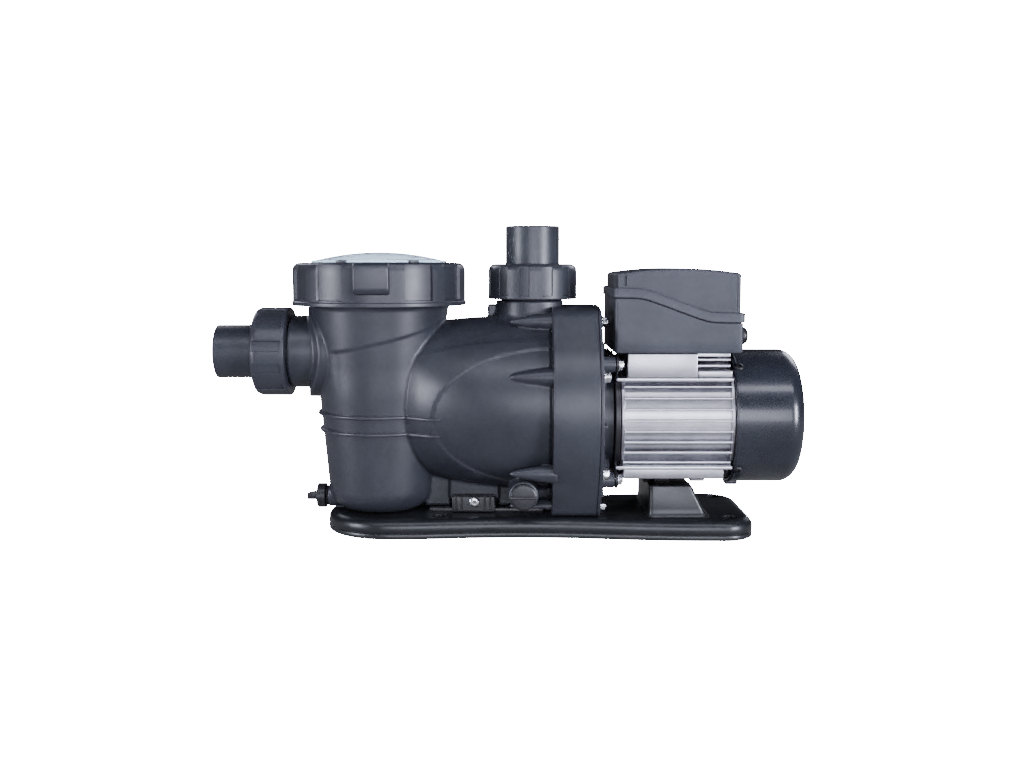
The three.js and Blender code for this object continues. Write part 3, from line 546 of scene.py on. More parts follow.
def pot_field(x, y, z):
    r = np.hypot(x - POT_X, y)
    side = (r - pot_radius(z)) * 0.995
    lean = np.degrees(np.arctan2(x - POT_X, np.abs(y)))
    sweep = 163 + 22 * np.clip((lean + 37) / 92, 0, 1.3) ** 1.25
    below = 1 - step_up(z, sweep - 1.1, sweep + 1.1)
    side = side + 0.9 * below * step_up(lean, -44, -34) * step_up(z, 120, 150)
    body = meet_round(side, POT_FLOOR - z, 20)
    body = np.maximum(body, z - 206)
    collar = meet_round(r - 71.4, np.abs(z - (204.6 + RIM_Z) / 2) - (RIM_Z - 204.6) / 2, 0.8)
    return union_round(body, collar, 5)


def volute_field(x, y, z):
    half, mid, tall = volute_section(x)
    q = np.sqrt((y / half) ** 2 + ((z - mid) / tall) ** 2) + 1e-6
    steep = np.sqrt((y / half ** 2) ** 2 + ((z - mid) / tall ** 2) ** 2) / q + 1e-6
    d = (q - 1) / steep * 0.93
    oval = np.sqrt(((FLANGE_LEFT - x) / 108) ** 2 + ((z - 104) / 64) ** 2)
    panel = (1 - step_up(oval, 0.975, 1.005)) * step_up(np.abs(y), 15, 30)
    crest = 176 - 13 * ((41 - x) / 111) ** 2
    under = (1 - step_up(z, crest - 1.1, crest + 1.1)) * step_up(x, -92, -76)
    groove = step_up(x, 39.2, 39.9) * 1.8
    d = d + 1.2 * panel - 0.9 * under + groove
    return np.maximum(d, np.maximum(x - 47, -98 - x))


def teardrops(x, y, z):
    reach = np.clip((x - 3.5) / (FLANGE_LEFT - 3.5), 0, 1)
    radius = 8.4 * reach ** 0.55
    d = reduce(np.minimum, (np.hypot(y - b.y, z - b.z) - radius for b in FLANGE_BOLTS))
    d = np.maximum(d, np.maximum(3.5 - x, x - 46))
    return np.maximum(d, 18.4 - z)


def housing_inside(x, y, z):
    r = np.hypot(x - POT_X, y)
    cone = meet_round(r - (pot_radius(z) - 5), 18.3 - z, 12)
    cone = np.maximum(cone, z - 199)
    mouth = np.maximum(r - 60.6, 198 - z)
    return reduce(np.minimum, (
        cone, mouth,
        tube(y, z - INLET_Z, x, 21, -260, POT_X),
        tube(y, z - SHAFT_Z, x, 19, POT_X, 24),
        tube(y, z - SHAFT_Z, x, 60, 22, 60),
        tube(x - OUTLET_X, y, z, 21, SHAFT_Z, 260),
        tube(x - FRONT_PLUG_AT.x, z - FRONT_PLUG_AT.z, y, 7.2, -100, -30),
        tube(y, z - PLUG_AT.z, x, 4.8, -200, -146),
    ))


def housing_field(x, y, z):
    pot = pot_field(x, y, z)
    inlet = tube(y, z - INLET_Z, x, NECK_R, INLET_FACE + 1.5, POT_X)
    r = np.hypot(x - POT_X, y)
    pad = meet_round(tube(y, z - INLET_Z, x, 42.4, -190, POT_X, 0.3), r - 66.3, 1.4)
    pad = np.maximum(pad, z - 203)
    pot = np.minimum(pot, union_round(pad, inlet, 1.5))
    volute = union_round(volute_field(x, y, z), teardrops(x, y, z), 1.6)
    outlet = tube(x - OUTLET_X, y, z, NECK_R, SHAFT_Z, OUTLET_FACE - 1.5)
    volute = union_round(volute, outlet, 6)
    d = union_round(pot, volute, 1.6)
    d = union_round(d, slab(x, y, z, (-17, -6, 175), (8, 6, 204.8), 1.6), 1.0)
    feet_and_bosses = reduce(np.minimum, (
        slab(x, y, z, (-53, -17, 22.3), (-6, 17, 60), 1.5),
        slab(x, y, z, (-76, -12, 15.3), (-52, 12, 60), 1.5),
        slab(x, y, z, (-7, -12, 15.3), (44, 12, 50), 1.5),
        tube(x - FRONT_PLUG_AT.x, z - FRONT_PLUG_AT.z, y, 13.2, -70, -30),
        tube(y, z - PLUG_AT.z, x, 10.4, -168.5, -140),
    ))
    d = union_round(d, feet_and_bosses, 2)
    d = reduce(np.minimum, (
        d,
        tube(y, z - INLET_Z, x, THREAD_R - 1.2, INLET_FACE - 19, POT_X),
        tube(x - OUTLET_X, y, z, THREAD_R - 1.2, SHAFT_Z, OUTLET_FACE + 19),
    ))
    relief = tube(x - FRONT_PLUG_AT.x, z - FRONT_PLUG_AT.z, y, 12.8, -100, -70)
    return meet_round(np.maximum(d, -relief), -housing_inside(x, y, z), 0.8)


def skin(name, field, corner, far_corner, step):
    """A mesh of the surface where the field is zero, with its points drawn onto it."""
    axes = [np.arange(a, b + step, step, dtype=np.float64) for a, b in zip(corner, far_corner)]
    grid = field(axes[0][:, None, None], axes[1][None, :, None], axes[2][None, None, :])
    inside = grid < 0
    shape = tuple(n - 1 for n in grid.shape)
    total = np.zeros(shape + (3,), np.float32)
    count = np.zeros(shape, np.float32)
    crossings = []
    for axis in range(3):
        first, second = [slice(None)] * 3, [slice(None)] * 3
        first[axis], second[axis] = slice(0, -1), slice(1, None)
        f0, f1 = grid[tuple(first)], grid[tuple(second)]
        crossed = inside[tuple(first)] != inside[tuple(second)]
        crossings.append(crossed)
        where = np.where(crossed, f0 / np.where(crossed, f0 - f1, 1), 0)
        a, b = [other for other in range(3) if other != axis]
        for j, k in ((0, 0), (0, 1), (1, 0), (1, 1)):
            part = [slice(None)] * 3
            part[a], part[b] = slice(j, shape[a] + j), slice(k, shape[b] + k)
            hit = crossed[tuple(part)]
            total[..., axis] += where[tuple(part)]
            total[..., a] += hit * j
            total[..., b] += hit * k
            count += hit
    active = count > 0
    index = np.full(shape, -1, np.int64)
    index[active] = np.arange(active.sum())
    cells = np.argwhere(active)
    points = np.array(corner) + (cells + total[active] / count[active][:, None]) * step
    quads = []
    for axis in range(3):
        a, b = [(1, 2), (2, 0), (0, 1)][axis]
        spots = np.argwhere(crossings[axis])
        keep = (spots[:, a] > 0) & (spots[:, b] > 0)
        keep &= (spots[:, a] < grid.shape[a] - 1) & (spots[:, b] < grid.shape[b] - 1)
        spots = spots[keep]
        starts_inside = inside[tuple(spots.T)]
        around = []
        for da, db in ((-1, -1), (0, -1), (0, 0), (-1, 0)):
            cell = spots.copy()
            cell[:, a] += da
            cell[:, b] += db
            around.append(index[tuple(cell.T)])
        quad = np.stack(around, axis=1)
        quad[~starts_inside] = quad[~starts_inside][:, ::-1]
        quads.append(quad)
    faces = np.concatenate(quads)
    near = 0.25
    for _ in range(4):
        x, y, z = points.T
        value = field(x, y, z)
        slope = np.stack([
            field(x + near, y, z) - field(x - near, y, z),
            field(x, y + near, z) - field(x, y - near, z),
            field(x, y, z + near) - field(x, y, z - near),
        ], axis=1) / (2 * near)
        size = np.maximum((slope ** 2).sum(axis=1), 0.25)
        move = slope * (value / size)[:, None]
        length = np.linalg.norm(move, axis=1)
        points -= move * np.minimum(1, 0.5 * step / np.maximum(length, 1e-9))[:, None]
    mesh = bpy.data.meshes.new(name)
    mesh.from_pydata((points * MM).tolist(), [], faces.tolist())
    mesh.validate()
    mesh.shade_smooth()
    return linked(name, mesh)


def flange_outline(shrink=0.0):
    """A round plate that runs out to two ears at the top and two feet at the bottom."""
    steps = 44
    radius, mid, soft = 97 - shrink, 110, 8
    top, crown, foot = 200.5 - shrink, 204.4 - shrink, 12.6 + shrink
    ear, toe = 54.0, 50.0
    upper = math.atan2(top - mid, ear) - math.acos(radius / math.hypot(ear, top - mid))
    lower = math.atan2(mid - foot, toe) - math.acos(radius / math.hypot(toe, mid - foot))
    right = bend((toe - soft, foot), (toe, foot),
                 (toe + soft * math.sin(lower), foot + soft * math.cos(lower)))
    for i in range(steps + 1):
        angle = -lower + (upper + lower) * i / steps
        right.append((radius * math.cos(angle), mid + radius * math.sin(angle)))
    right += bend((ear + soft * math.sin(upper), top - soft * math.cos(upper)), (ear + 1, top),
                  (ear - soft, top + 1.0))
    for y in (36.0, 24.0, 12.0):
        right.append((y, crown - (crown - top - 0.4) * (y / 50) ** 2))
    return right + [(0.0, crown)] + [(-y, z) for y, z in reversed(right)]


def thread_sleeve(name, axis, at, start, end):
    """A helical thread on a round stub."""
    pitch, depth = 4.0, 1.1
    places = np.arange(start, end + 0.01, 0.5)
    profile = [(THREAD_R - 1.9, start)] + [(THREAD_R, t) for t in places] + [(THREAD_R - 1.9, end)]

    def cut(angle, t, radius):
        if radius < THREAD_R - 0.5:
            return 0.0
        phase = (t / pitch + angle / (2 * math.pi)) % 1
        fade = min(1.0, (t - start) / 2, (end - t) / 2)
        groove = max(0.0, 1 - abs(phase - 0.5) * 3.2)
        return depth * groove * fade + (1 - fade) * 0.9

    return revolve(name, profile, axis, at, relief=cut)


def make_housing():
    step = 1.4 if FINE else 2.0
    body = skin("pump_housing_body", housing_field, (-224, -94, 9), (52, 94, 234), step)
    dress(body, "pump_housing")
    flange = prism("pump_housing_flange", flange_outline(), (FLANGE_LEFT, FLANGE_RIGHT), "x", 1.1)
    dress(carve(flange, [rod("bore", 74.2, 30, 90)]), "pump_housing")
    threads = (
        ("inlet", "x", (0, 0, INLET_Z), INLET_FACE - 19, INLET_FACE - 0.5),
        ("outlet", "z", (OUTLET_X, 0, 0), OUTLET_FACE + 0.5, OUTLET_FACE + 19),
    )
    for port, axis, at, start, end in threads:
        dress(thread_sleeve(f"{port}_port_thread", axis, at, start, end), "pump_housing")
    for number, height in enumerate((88.5, 104.0)):
        dress(strap(f"pot_band_{number + 1}", height), "pump_housing")


def strap(name, height):
    """A raised bead round the pot, running on to the volute's sides."""
    radius = float(pot_radius(height))
    side = []
    for x in np.linspace(-58, -104, 24):
        half, mid, tall = volute_section(x)
        y = half * math.sqrt(max(0.0, 1 - ((height - mid) / tall) ** 2))
        if math.hypot(x - POT_X, y) > radius:
            side.append((x, y))
    meet = math.atan2(side[-1][1], side[-1][0] - POT_X)
    path = list(side)
    steps = 72
    for i in range(1, steps):
        angle = meet + (2 * math.pi - 2 * meet) * i / steps
        path.append((POT_X + radius * math.cos(angle), radius * math.sin(angle)))
    path += [(x, -y) for x, y in reversed(side)]
    bead = [(-2.5, -1.6), (1.9, -1.6), (2.8, -1.2), (3.2, -0.5), (3.2, 0.5), (2.8, 1.2),
            (1.9, 1.6), (-2.5, 1.6)]
    loops = []
    count = len(path)
    for i, (x, y) in enumerate(path):
        ahead = Vector(path[min(i + 1, count - 1)]) - Vector(path[max(i - 1, 0)])
        ahead.normalize()
        out = Vector((ahead.y, -ahead.x))
        fade = min(1.0, 0.15 + min(i, count - 1 - i) / 5)
        loops.append([(x + out.x * d * fade, y + out.y * d * fade, height + h * (0.5 + 0.5 * fade))
                      for d, h in bead])
    return loft(name, loops)


# ---- lid, lens and basket
def with_wall(profile, outer, places):
    """The profile with extra points on its outer wall, for the edges of pockets."""
    before = [i for i, (r, t) in enumerate(profile) if r > outer - 0.01 and t < places[0]]
    split = max(before) + 1
    return profile[:split] + [(outer, t) for t in places] + profile[split:]


def make_lid():
    ring_low, ring_high = low("lid_ring").z, high("lid_ring").z
    outer, lip = 80.0, 80.8
    lug_angle = math.radians(-87.5)
    pocket_low, pocket_high = ring_low + 5.2, ring_high - 2.2
    profile = rounded([
        (72.2, ring_low, 0.5), (lip, ring_low, 0.6), (lip, ring_low + 3.4, 0.5),
        (outer, ring_low + 4, 0.3), (outer, ring_high, 8.5), (63.4, ring_high, 1.0),
        (63.4, 238.4, 0.4), (72.2, 238.4, 0.4),
    ])
    wall = (pocket_low, pocket_low + 0.7, pocket_low + 1.2, 218, 225, 232)
    profile = with_wall(profile, outer, wall)
    offsets = (-9.9, -9.3, -8.6, -6, -3, 0, 3, 6, 8.6, 9.3, 9.9, 12.4, 15, 17.6)
    angles = sorted(lug_angle + math.radians(30 * k + offset)
                    for k in range(12) for offset in offsets)

    def pocket(angle, t, radius):
        turn = math.degrees(angle - lug_angle)
        nearest = round(turn / 30)
        if nearest % 3 == 0 or not pocket_low < t < pocket_high:
            return 0.0
        side = min(1.0, max(0.0, (9.9 - abs(turn - 30 * nearest)) / 0.6))
        return max(0.0, radius - outer + 2.4) * side * min(1.0, (t - pocket_low) / 0.7)

    pieces = [revolve("ring", profile, "z", ON_POT, relief=pocket, angles=angles, sharp=28)]
    lug_side = [(72, 217), (72, 243), (84, 243), (88.6, 240), (88.6, 219), (86, 216.2), (76, 214.5)]
    for side in (0, 180):
        pieces.append(round_pot(prism("lug", lug_side, (-17.0, 14.5), "y", 2.8, 5), -87.5 + side))
        for lean in (-30, 30):
            clip = block("clip", (60.5, 66), (-4.5, 4.5), (242.4, 245.2), 0.7)
            pieces.append(round_pot(clip, -85 + side + lean))
    dress(join("lid_ring_moulding", pieces, 28), "lid_ring")

    rim, crown, wide, dome = 245.5, high("lid_lens").z, 62.7, 57.0
    rise = crown - rim - 0.5
    over = [(dome * t, rim + 0.5 + rise * (1 - t * t)) for t in np.linspace(1.0, 0.06, 14)]
    profile = [(0, crown - 4)] + [(t, z - 4) for t, z in reversed(over)] + [
        (56.7, 236), (56.7, 234.2), (57.2, 233.8), (67.6, 233.8), (68, 234.2), (68, 237.6),
        (67.6, 238), (wide, 238.2), (wide, rim - 0.9), (wide - 0.3, rim - 0.2), (wide - 1, rim),
        (dome + 1.5, rim + 0.1),
    ] + over + [(0, crown)]
    lens = solid_turn("lid_lens_dome", profile, "z", ON_POT, 128)
    dress(lens, "lid_lens")


def make_basket():
    bottom, rim = low("strainer_basket").z, 198.3
    profile = rounded([
        (0.5, bottom, 0), (41, bottom, 2.5), (55, rim, 1), (61, rim, 0.8), (61, rim + 3, 1.2),
        (53, rim + 3, 1.2), (39.6, bottom + 2.2, 2), (0.5, bottom + 2.2, 0),
    ])
    shell = revolve("basket_shell", profile, "z", ON_POT, 120)
    rows = 5
    height = (rim - 10 - bottom - 8) / rows
    tools = []
    for row in range(rows):
        z0 = bottom + 8 + row * height
        for i in range(24):
            angle = 15 * (i + 0.5)
            at_window = abs(angle - 180) < 36 and z0 + height > INLET_Z - 25
            if not at_window:
                slot = block("slot", (34, 62), (-2.2, 2.2), (z0, z0 + height - 4), 0.8, 1)
                tools.append(round_pot(slot, angle))
    for i in range(12):
        slot = block("slot", (10, 34), (-1.8, 1.8), (bottom - 3, bottom + 5), 0.8, 1)
        tools.append(round_pot(slot, 30 * i))
    shell = carve(shell, [join("slots", tools)])
    shell = carve(shell, [rod("window", 23, -80, -20, "x", (POT_X, 0, INLET_Z))])
    loops = []
    for i in range(33):
        angle = math.pi * i / 32
        out = Vector((math.cos(angle), 0, 0.44 * math.sin(angle)))
        mid = Vector((POT_X, 0, rim + 1.5)) + out * 52
        away = Vector((math.cos(angle), 0, math.sin(angle) * 1.6)).normalized()
        loops.append([tuple(mid + away * (1.6 * math.cos(s)) + Vector((0, 3.4 * math.sin(s), 0)))
                      for s in np.linspace(0, 2 * math.pi, 16, endpoint=False)])
    handle = loft("handle", loops)
    dress(join("strainer_basket_moulding", [shell, handle]), "strainer_basket")


# ---- unions
def make_union(prefix, axis, at, sign, face, end, grip):
    """sign is the way the stub leaves, face the nut's pump-side end, grip one pocket's angle."""
    outer, length, pocket_start, pocket_half = 41.3, 32.4, 3.2, 6.9

    def placed(profile):
        points = [(r, face + sign * t) for r, t in profile]
        return points if sign > 0 else points[::-1]

    profile = rounded([
        (31.3, 0, 0.4), (outer, 0, 1.2), (outer, length, 7.6), (25.6, length, 0.8),
        (25.6, 26.6, 0.4), (31.3, 26.6, 0.4),
    ], 8)
    profile = with_wall(profile, outer, (pocket_start, 3.7, 4.4, 9, 14, 19, 23.5))
    flanks = [side * pocket_half + step for side in (-1, 1) for step in (-0.5, 0, 0.5)]
    angles = sorted(math.radians(grip + 30 * k + offset)
                    for k in range(12) for offset in flanks + [-3.4, 0, 3.4, 11, 15, 19])

    def pocket(angle, t, radius):
        along = abs(t - face)
        if not pocket_start < along < 31:
            return 0.0
        turn = (math.degrees(angle) - grip + 15) % 30 - 15
        side = min(1.0, max(0.0, (pocket_half - abs(turn)) / 0.5))
        return max(0.0, radius - outer + 1.3) * side * min(1.0, (along - pocket_start) / 0.5)

    nut = revolve(f"{prefix}_nut_body", placed(profile), axis, at, relief=pocket, angles=angles,
                  sharp=28)
    dress(nut, f"{prefix}_union_nut")
    reach = abs(end - face)
    tail = placed(rounded([
        (21.5, 22.2, 0.5), (30.4, 22.2, 0.6), (30.4, 26.3, 0.8), (25, 26.3, 0.4), (25, 30, 0),
        (25, reach, 1.4), (21.5, reach, 1.0),
    ]))
    dress(revolve(f"{prefix}_stub_pipe", tail, axis, at), f"{prefix}_tailpiece")
    seal = placed(section(22.6, 27.9, 19.4, 21.8, 0.9))
    dress(revolve(f"{prefix}_seal_ring", seal, axis, at, 72), f"{prefix}_union_o_ring")


# ---- base, pads and clamp
def base_outline():
    left, waist, right = 61.5, 54.0, 67.0
    corner = 30.0
    left_end, right_end = BASE_LOW.x + left, BASE_HIGH.x - corner

    def bezier(a, b, c, d, steps):
        points = []
        for i in range(steps):
            s = i / steps
            weights = ((1 - s) ** 3, 3 * s * (1 - s) ** 2, 3 * s * s * (1 - s), s ** 3)
            spots = list(zip(weights, (a, b, c, d)))
            points.append(tuple(sum(w * p[k] for w, p in spots) for k in (0, 1)))
        return points

    top = [(right_end + corner * math.cos(t), right - corner + corner * math.sin(t))
           for t in np.linspace(0, math.pi / 2, 14)[:-1]]
    top += bezier((right_end, right), (110, right), (80, waist), (13, waist), 18)
    top += bezier((13, waist), (-40, waist), (-60, left), (left_end, left), 12)
    top += [(left_end + left * math.cos(t), left * math.sin(t))
            for t in np.linspace(math.pi / 2, math.pi, 24)]
    return top + [(x, -y) for x, y in reversed(top[:-1])]


def offset_outline(outline, amount):
    """The outline drawn in by an amount, along its own normals."""
    count = len(outline)
    points = []
    for i, (x, y) in enumerate(outline):
        ahead = Vector(outline[(i + 1) % count]) - Vector(outline[i - 1])
        ahead.normalize()
        points.append((x - ahead.y * amount, y + ahead.x * amount))
    return points


def make_base():
    outline = base_outline()
    levels = [(0, 1.2), (0.4, 0.4), (1.2, 0), (4.4, 0), (4.9, 0.35), (5.2, 1.0), (5.6, 1.0),
              (5.9, 0.3), (6.4, 0)]
    levels += [(10 + 8 * math.sin(t), 8 - 8 * math.cos(t)) for t in np.linspace(0, math.pi / 2, 9)]
    levels += [(18, 11)]
    loops = [[(x, y, z) for x, y in offset_outline(outline, inset)] for z, inset in levels]
    plate = loft("base_moulding_plate", loops)
    reliefs = [rod("relief", 12.6, -200, -142, "x", (0, 0, PLUG_AT.z + LIFT), 48)]
    bolt_hole = [(0, -3), (4.5, -3), (4.5, 12), (7.5, 12), (7.5, 30), (0, 30)]
    for x, y in ((-60, 42), (-60, -42), (205, 46), (205, -46)):
        reliefs.append(solid_turn("hole", bolt_hole, "z", (x, y, 0), 32))
    plate = carve(plate, reliefs)
    plinth = block("plinth", (-72, 36), (-20, 20), (15, 21), 1.6, 4)
    loops = []
    for z, grow in ((17, 3.6), (18.2, 2.4), (19.6, 1.1), (22, 0.3), (26, 0), (45.6, 0),
                    (46.6, -0.4), (47, -1.4)):
        right_side = 185 - 15 * (z - 17) / 30
        corner = max(1.5, 4 + grow)
        loops.append(rounded_loop(131 - grow * 0.6, right_side + grow, 48 + grow, corner, z))
    over_shaft = (0, 0, SHAFT_Z + LIFT)
    pedestal = carve(loft("pedestal", loops), [rod("saddle", 64, 100, 200, "x", over_shaft)])
    dress(join("base_moulding", [plate, plinth, pedestal]), "base_plate")

    x0, x1 = low("motor_rest_pad").x, high("motor_rest_pad").x
    half = high("motor_rest_pad").y
    strip = revolve("strip", section(60.4, 63.7, x0, x1, 0.3, 0.6, 0.6, 0.3), "x", over_shaft, 160)
    keep = block("keep", (100, 200), (-half, half), (20, 80), 0.3, 1)
    dress(carve(strip, [keep], "INTERSECT"), "motor_rest_pad")


def rounded_loop(x0, x1, half, radius, z):
    points = []
    for cx, cy, start in ((x1 - radius, half - radius, 0), (x0 + radius, half - radius, 90),
                          (x0 + radius, radius - half, 180), (x1 - radius, radius - half, 270)):
        for turn in range(0, 91, 18):
            angle = math.radians(start + turn)
            points.append((cx + radius * math.cos(angle), cy + radius * math.sin(angle), z))
    return points


def make_clamp():
    x0, x1 = low("clamp_block").x, high("clamp_block").x
    pieces = [block("bar", (x0, x1), (-21, 21), (21.3, 28), 0.8)]
    face = 29
    for side in (-1, 1):
        y0, y1 = sorted((20.3 * side, face * side))
        cheek = block("cheek", (x0, x1), (y0, y1), (18.3, 33.5), 1.6, 4)
        span = (face * side - 1.6, face * side + 1.6)
        cuts = [block("cut", (x, x + 1.9), span, (20.5, 40), 0.3, 1)
                for x in (-46.8, -41.6, -20.4, -15.2)]
        pieces.append(carve(cheek, cuts))
    dress(join("clamp_moulding", pieces), "clamp_block")
    bolt = middle("clamp_bolt")
    at = (bolt.x, 0, bolt.z)
    for name, side in (("near", -1), ("far", 1)):
        head = domed_head("head", "y", at, 29.3 * side, side, 5.0, 3.4)
        shank = rod("shank", 2.5, *sorted((30.4 * side, 22.0 * side)), "y", at, 24)
        dress(join(f"clamp_bolt_{name}", [head, shank]), "clamp_bolt")


def domed_head(name, axis, at, face, sign, radius, tall):
    """A round screw head with a hexagon socket."""
    profile = [(0, 0), (radius, 0), (radius, tall * 0.45), (radius * 0.93, tall * 0.72),
               (radius * 0.75, tall * 0.92), (radius * 0.5, tall), (0, tall)]
    shape = [(r, face + sign * t) for r, t in profile]
    head = solid_turn(name, shape if sign > 0 else shape[::-1], axis, at, 40)
    depth = sorted((face + sign * tall * 0.45, face + sign * (tall + 1)))
    return carve(head, [rod("socket", radius * 0.45, *depth, axis, at, 6)])


# ---- seal plate and bolts
MOTOR_BOLTS = [middle(f"motor_bolt_{i}") for i in range(1, 5)]


def shaft_angle(spot):
    """How far round the shaft a place lies, in degrees."""
    return math.degrees(math.atan2(spot.z - SHAFT_Z, spot.y))


def make_seal_plate():
    plate = prism("plate", flange_outline(0.3), (83, 86), "x", 0.7)
    plate = carve(plate, [rod("well", 60, 70, 95)])
    core = revolve("core", rounded([
        (9.6, 80, 0), (17.4, 80, 0), (17.4, 74, 0.6), (73.6, 74, 1.0), (73.6, 84, 0), (52, 84, 0),
        (52, 98.6, 1.4), (44, 98.6, 1.0), (44, 88, 1), (9.6, 88, 0),
    ]), segments=112)
    pieces = [plate, core]
    boss = rounded([(3.4, 84, 0), (7.6, 84, 0), (7.0, 98.6, 1.0), (3.4, 98.6, 0.4)])
    for bolt in MOTOR_BOLTS:
        pieces.append(revolve("boss", boss, "x", (0, bolt.y, bolt.z), 48))
        web = block("web", (84, 95), (48, 70), (-2.2, 2.2), 0.9)
        pieces.append(round_shaft(web, shaft_angle(bolt)))
    for angle in range(0, 360, 30):
        rib = block("rib", (84, 90), (51, 82), (-1.4, 1.4), 0.7)
        pieces.append(round_shaft(rib, angle))
    dress(join("seal_plate_moulding", pieces), "seal_plate")
    dress(revolve("housing_seal_ring", section(71, 73.8, 76.3, 79.3, 1)), "housing_o_ring")


def hex_bolt(name, node, spot, washer, head_start, head_end, tail):
    at = (0, spot.y, spot.z)
    turn = math.radians(17 * (spot.y + spot.z))
    reach = 5.2
    corners = [turn + math.pi * k / 3 for k in range(6)]
    outline = [(spot.y + reach * math.cos(a), spot.z + reach * math.sin(a)) for a in corners]
    head = prism("head", outline, (head_start, head_end), "x", 0.55)
    disc = revolve("disc", section(3, 5.9, washer, head_start, 0, 0.3, 0.3, 0), "x", at, 40)
    shank = rod("shank", 2.9, tail, head_start + 1, "x", at, 24)
    tip = solid_turn("tip", [
        (0, head_end - 1), (2.6, head_end - 1), (2.6, head_end + 0.7), (2.0, head_end + 1.2),
        (0, head_end + 1.2),
    ], "x", at, 24)
    dress(join(name, [head, disc, shank, tip]), node)


def make_bolts():
    for i, spot in enumerate(FLANGE_BOLTS):
        hex_bolt(f"flange_bolt_head_{i + 1}", f"flange_bolt_{i + 1}", spot, 86.3, 87.6, 91.5, 60)
    for i, spot in enumerate(MOTOR_BOLTS):
        hex_bolt(f"motor_bolt_head_{i + 1}", f"motor_bolt_{i + 1}", spot, 101.4, 102.4, 105.4, 92)


# ---- motor
def frame_outline():
    """Cross-section of the finned frame: y, z points round the shaft."""
    core, foot = 55.0, 60.0
    features = [(-40.8, 1.6, 57.0)]
    features += [(9.9 * (i - 3.5) - 2.6, 0.8, None) for i in range(8)]
    features += [(39.0, 1.7, 57.0)]
    right = []
    for angle in np.linspace(-90, -44.6, 14):
        right.append((foot * math.cos(math.radians(angle)), foot * math.sin(math.radians(angle))))
    last = -42.6
    for height, half, reach in features:
        tip = reach or math.sqrt(61.0 ** 2 - height ** 2)
        for h in np.linspace(last, height - half, 5):
            right.append((math.sqrt(core ** 2 - h * h), h))
        soft = half * 0.5
        right += [(tip - soft, height - half), (tip - soft * 0.3, height - half * 0.8),
                  (tip, height - half * 0.35), (tip, height + half * 0.35),
                  (tip - soft * 0.3, height + half * 0.8), (tip - soft, height + half)]
        last = height + half
    for h in np.linspace(last, core * 0.999, 16):
        right.append((math.sqrt(max(0.0, core ** 2 - h * h)), h))
    right[-1] = (1.2, core * 0.9998)
    right[0] = (1.2, right[0][1])
    loop = right + [(-y, h) for y, h in reversed(right)]
    return [(y, h + SHAFT_Z) for y, h in loop]


def bore_tool(radius=50.0):
    return rod("bore", radius, 90, 225)


def make_frame():
    pieces = [carve(prism("barrel", frame_outline(), (107, 204), "x", 0.0), [bore_tool()])]
    for x0, x1 in ((104.3, 107.6), (203.4, 206.7)):
        rim = section(50, 58.4, x0, x1, 0.3, 1.0, 0.8, 0.3)
        pieces.append(revolve("rim", rim, segments=112))
    pads = [
        block("pad", (109, 172), (-57, 57), (140.5, 162.7), 1.2),
        block("step", (172.5, 203), (-56.5, 56.5), (141, 147), 1.0),
    ]
    for z, half in ((151, 1.1), (156.5, 1.1), (160.8, 1.7)):
        pads.append(block("fin", (171, 202), (-51, 51), (z - half, z + half), 0.6))
    pads.append(block("skirt", (107, 198), (-50, 50), (47.8, 59), 1.0))
    pads.append(block("foot_lug", (174, 188), (-8, 8), (37.5, 45), 1.2))
    pieces += [carve(piece, [bore_tool(50.2)]) for piece in pads]
    for side in (-1, 1):
        y = sorted((51 * side, 57 * side))
        for height in (59.2, 139):
            pieces.append(block("ear", (99.3, 108), y, (height - 1.6, height + 1.6), 0.8))
    dress(join("motor_frame_casting", pieces), "motor_frame")

    pieces = [revolve("shield", rounded([
        (9, 99, 0), (57.5, 99, 1.0), (57.5, 104, 0.6), (49.2, 104, 0), (49.2, 110, 0.5),
        (46, 110, 0.5), (46, 106, 1), (22, 106, 1), (22, 113.4, 0.5), (18, 113.4, 0.5),
        (18, 102, 0), (9, 102, 0),
    ]), segments=112)]
    eye = section(3.3, 7.7, 99, 101.2, 0.2, 0.5, 0.5, 0.2)
    for bolt in MOTOR_BOLTS:
        arm = block("arm", (99, 101.2), (48, 70), (-5.4, 5.4), 0.7)
        pieces.append(round_shaft(arm, shaft_angle(bolt)))
        pieces.append(revolve("eye", eye, "x", (0, bolt.y, bolt.z), 40))
    dress(join("front_shield_casting", pieces), "front_shield")


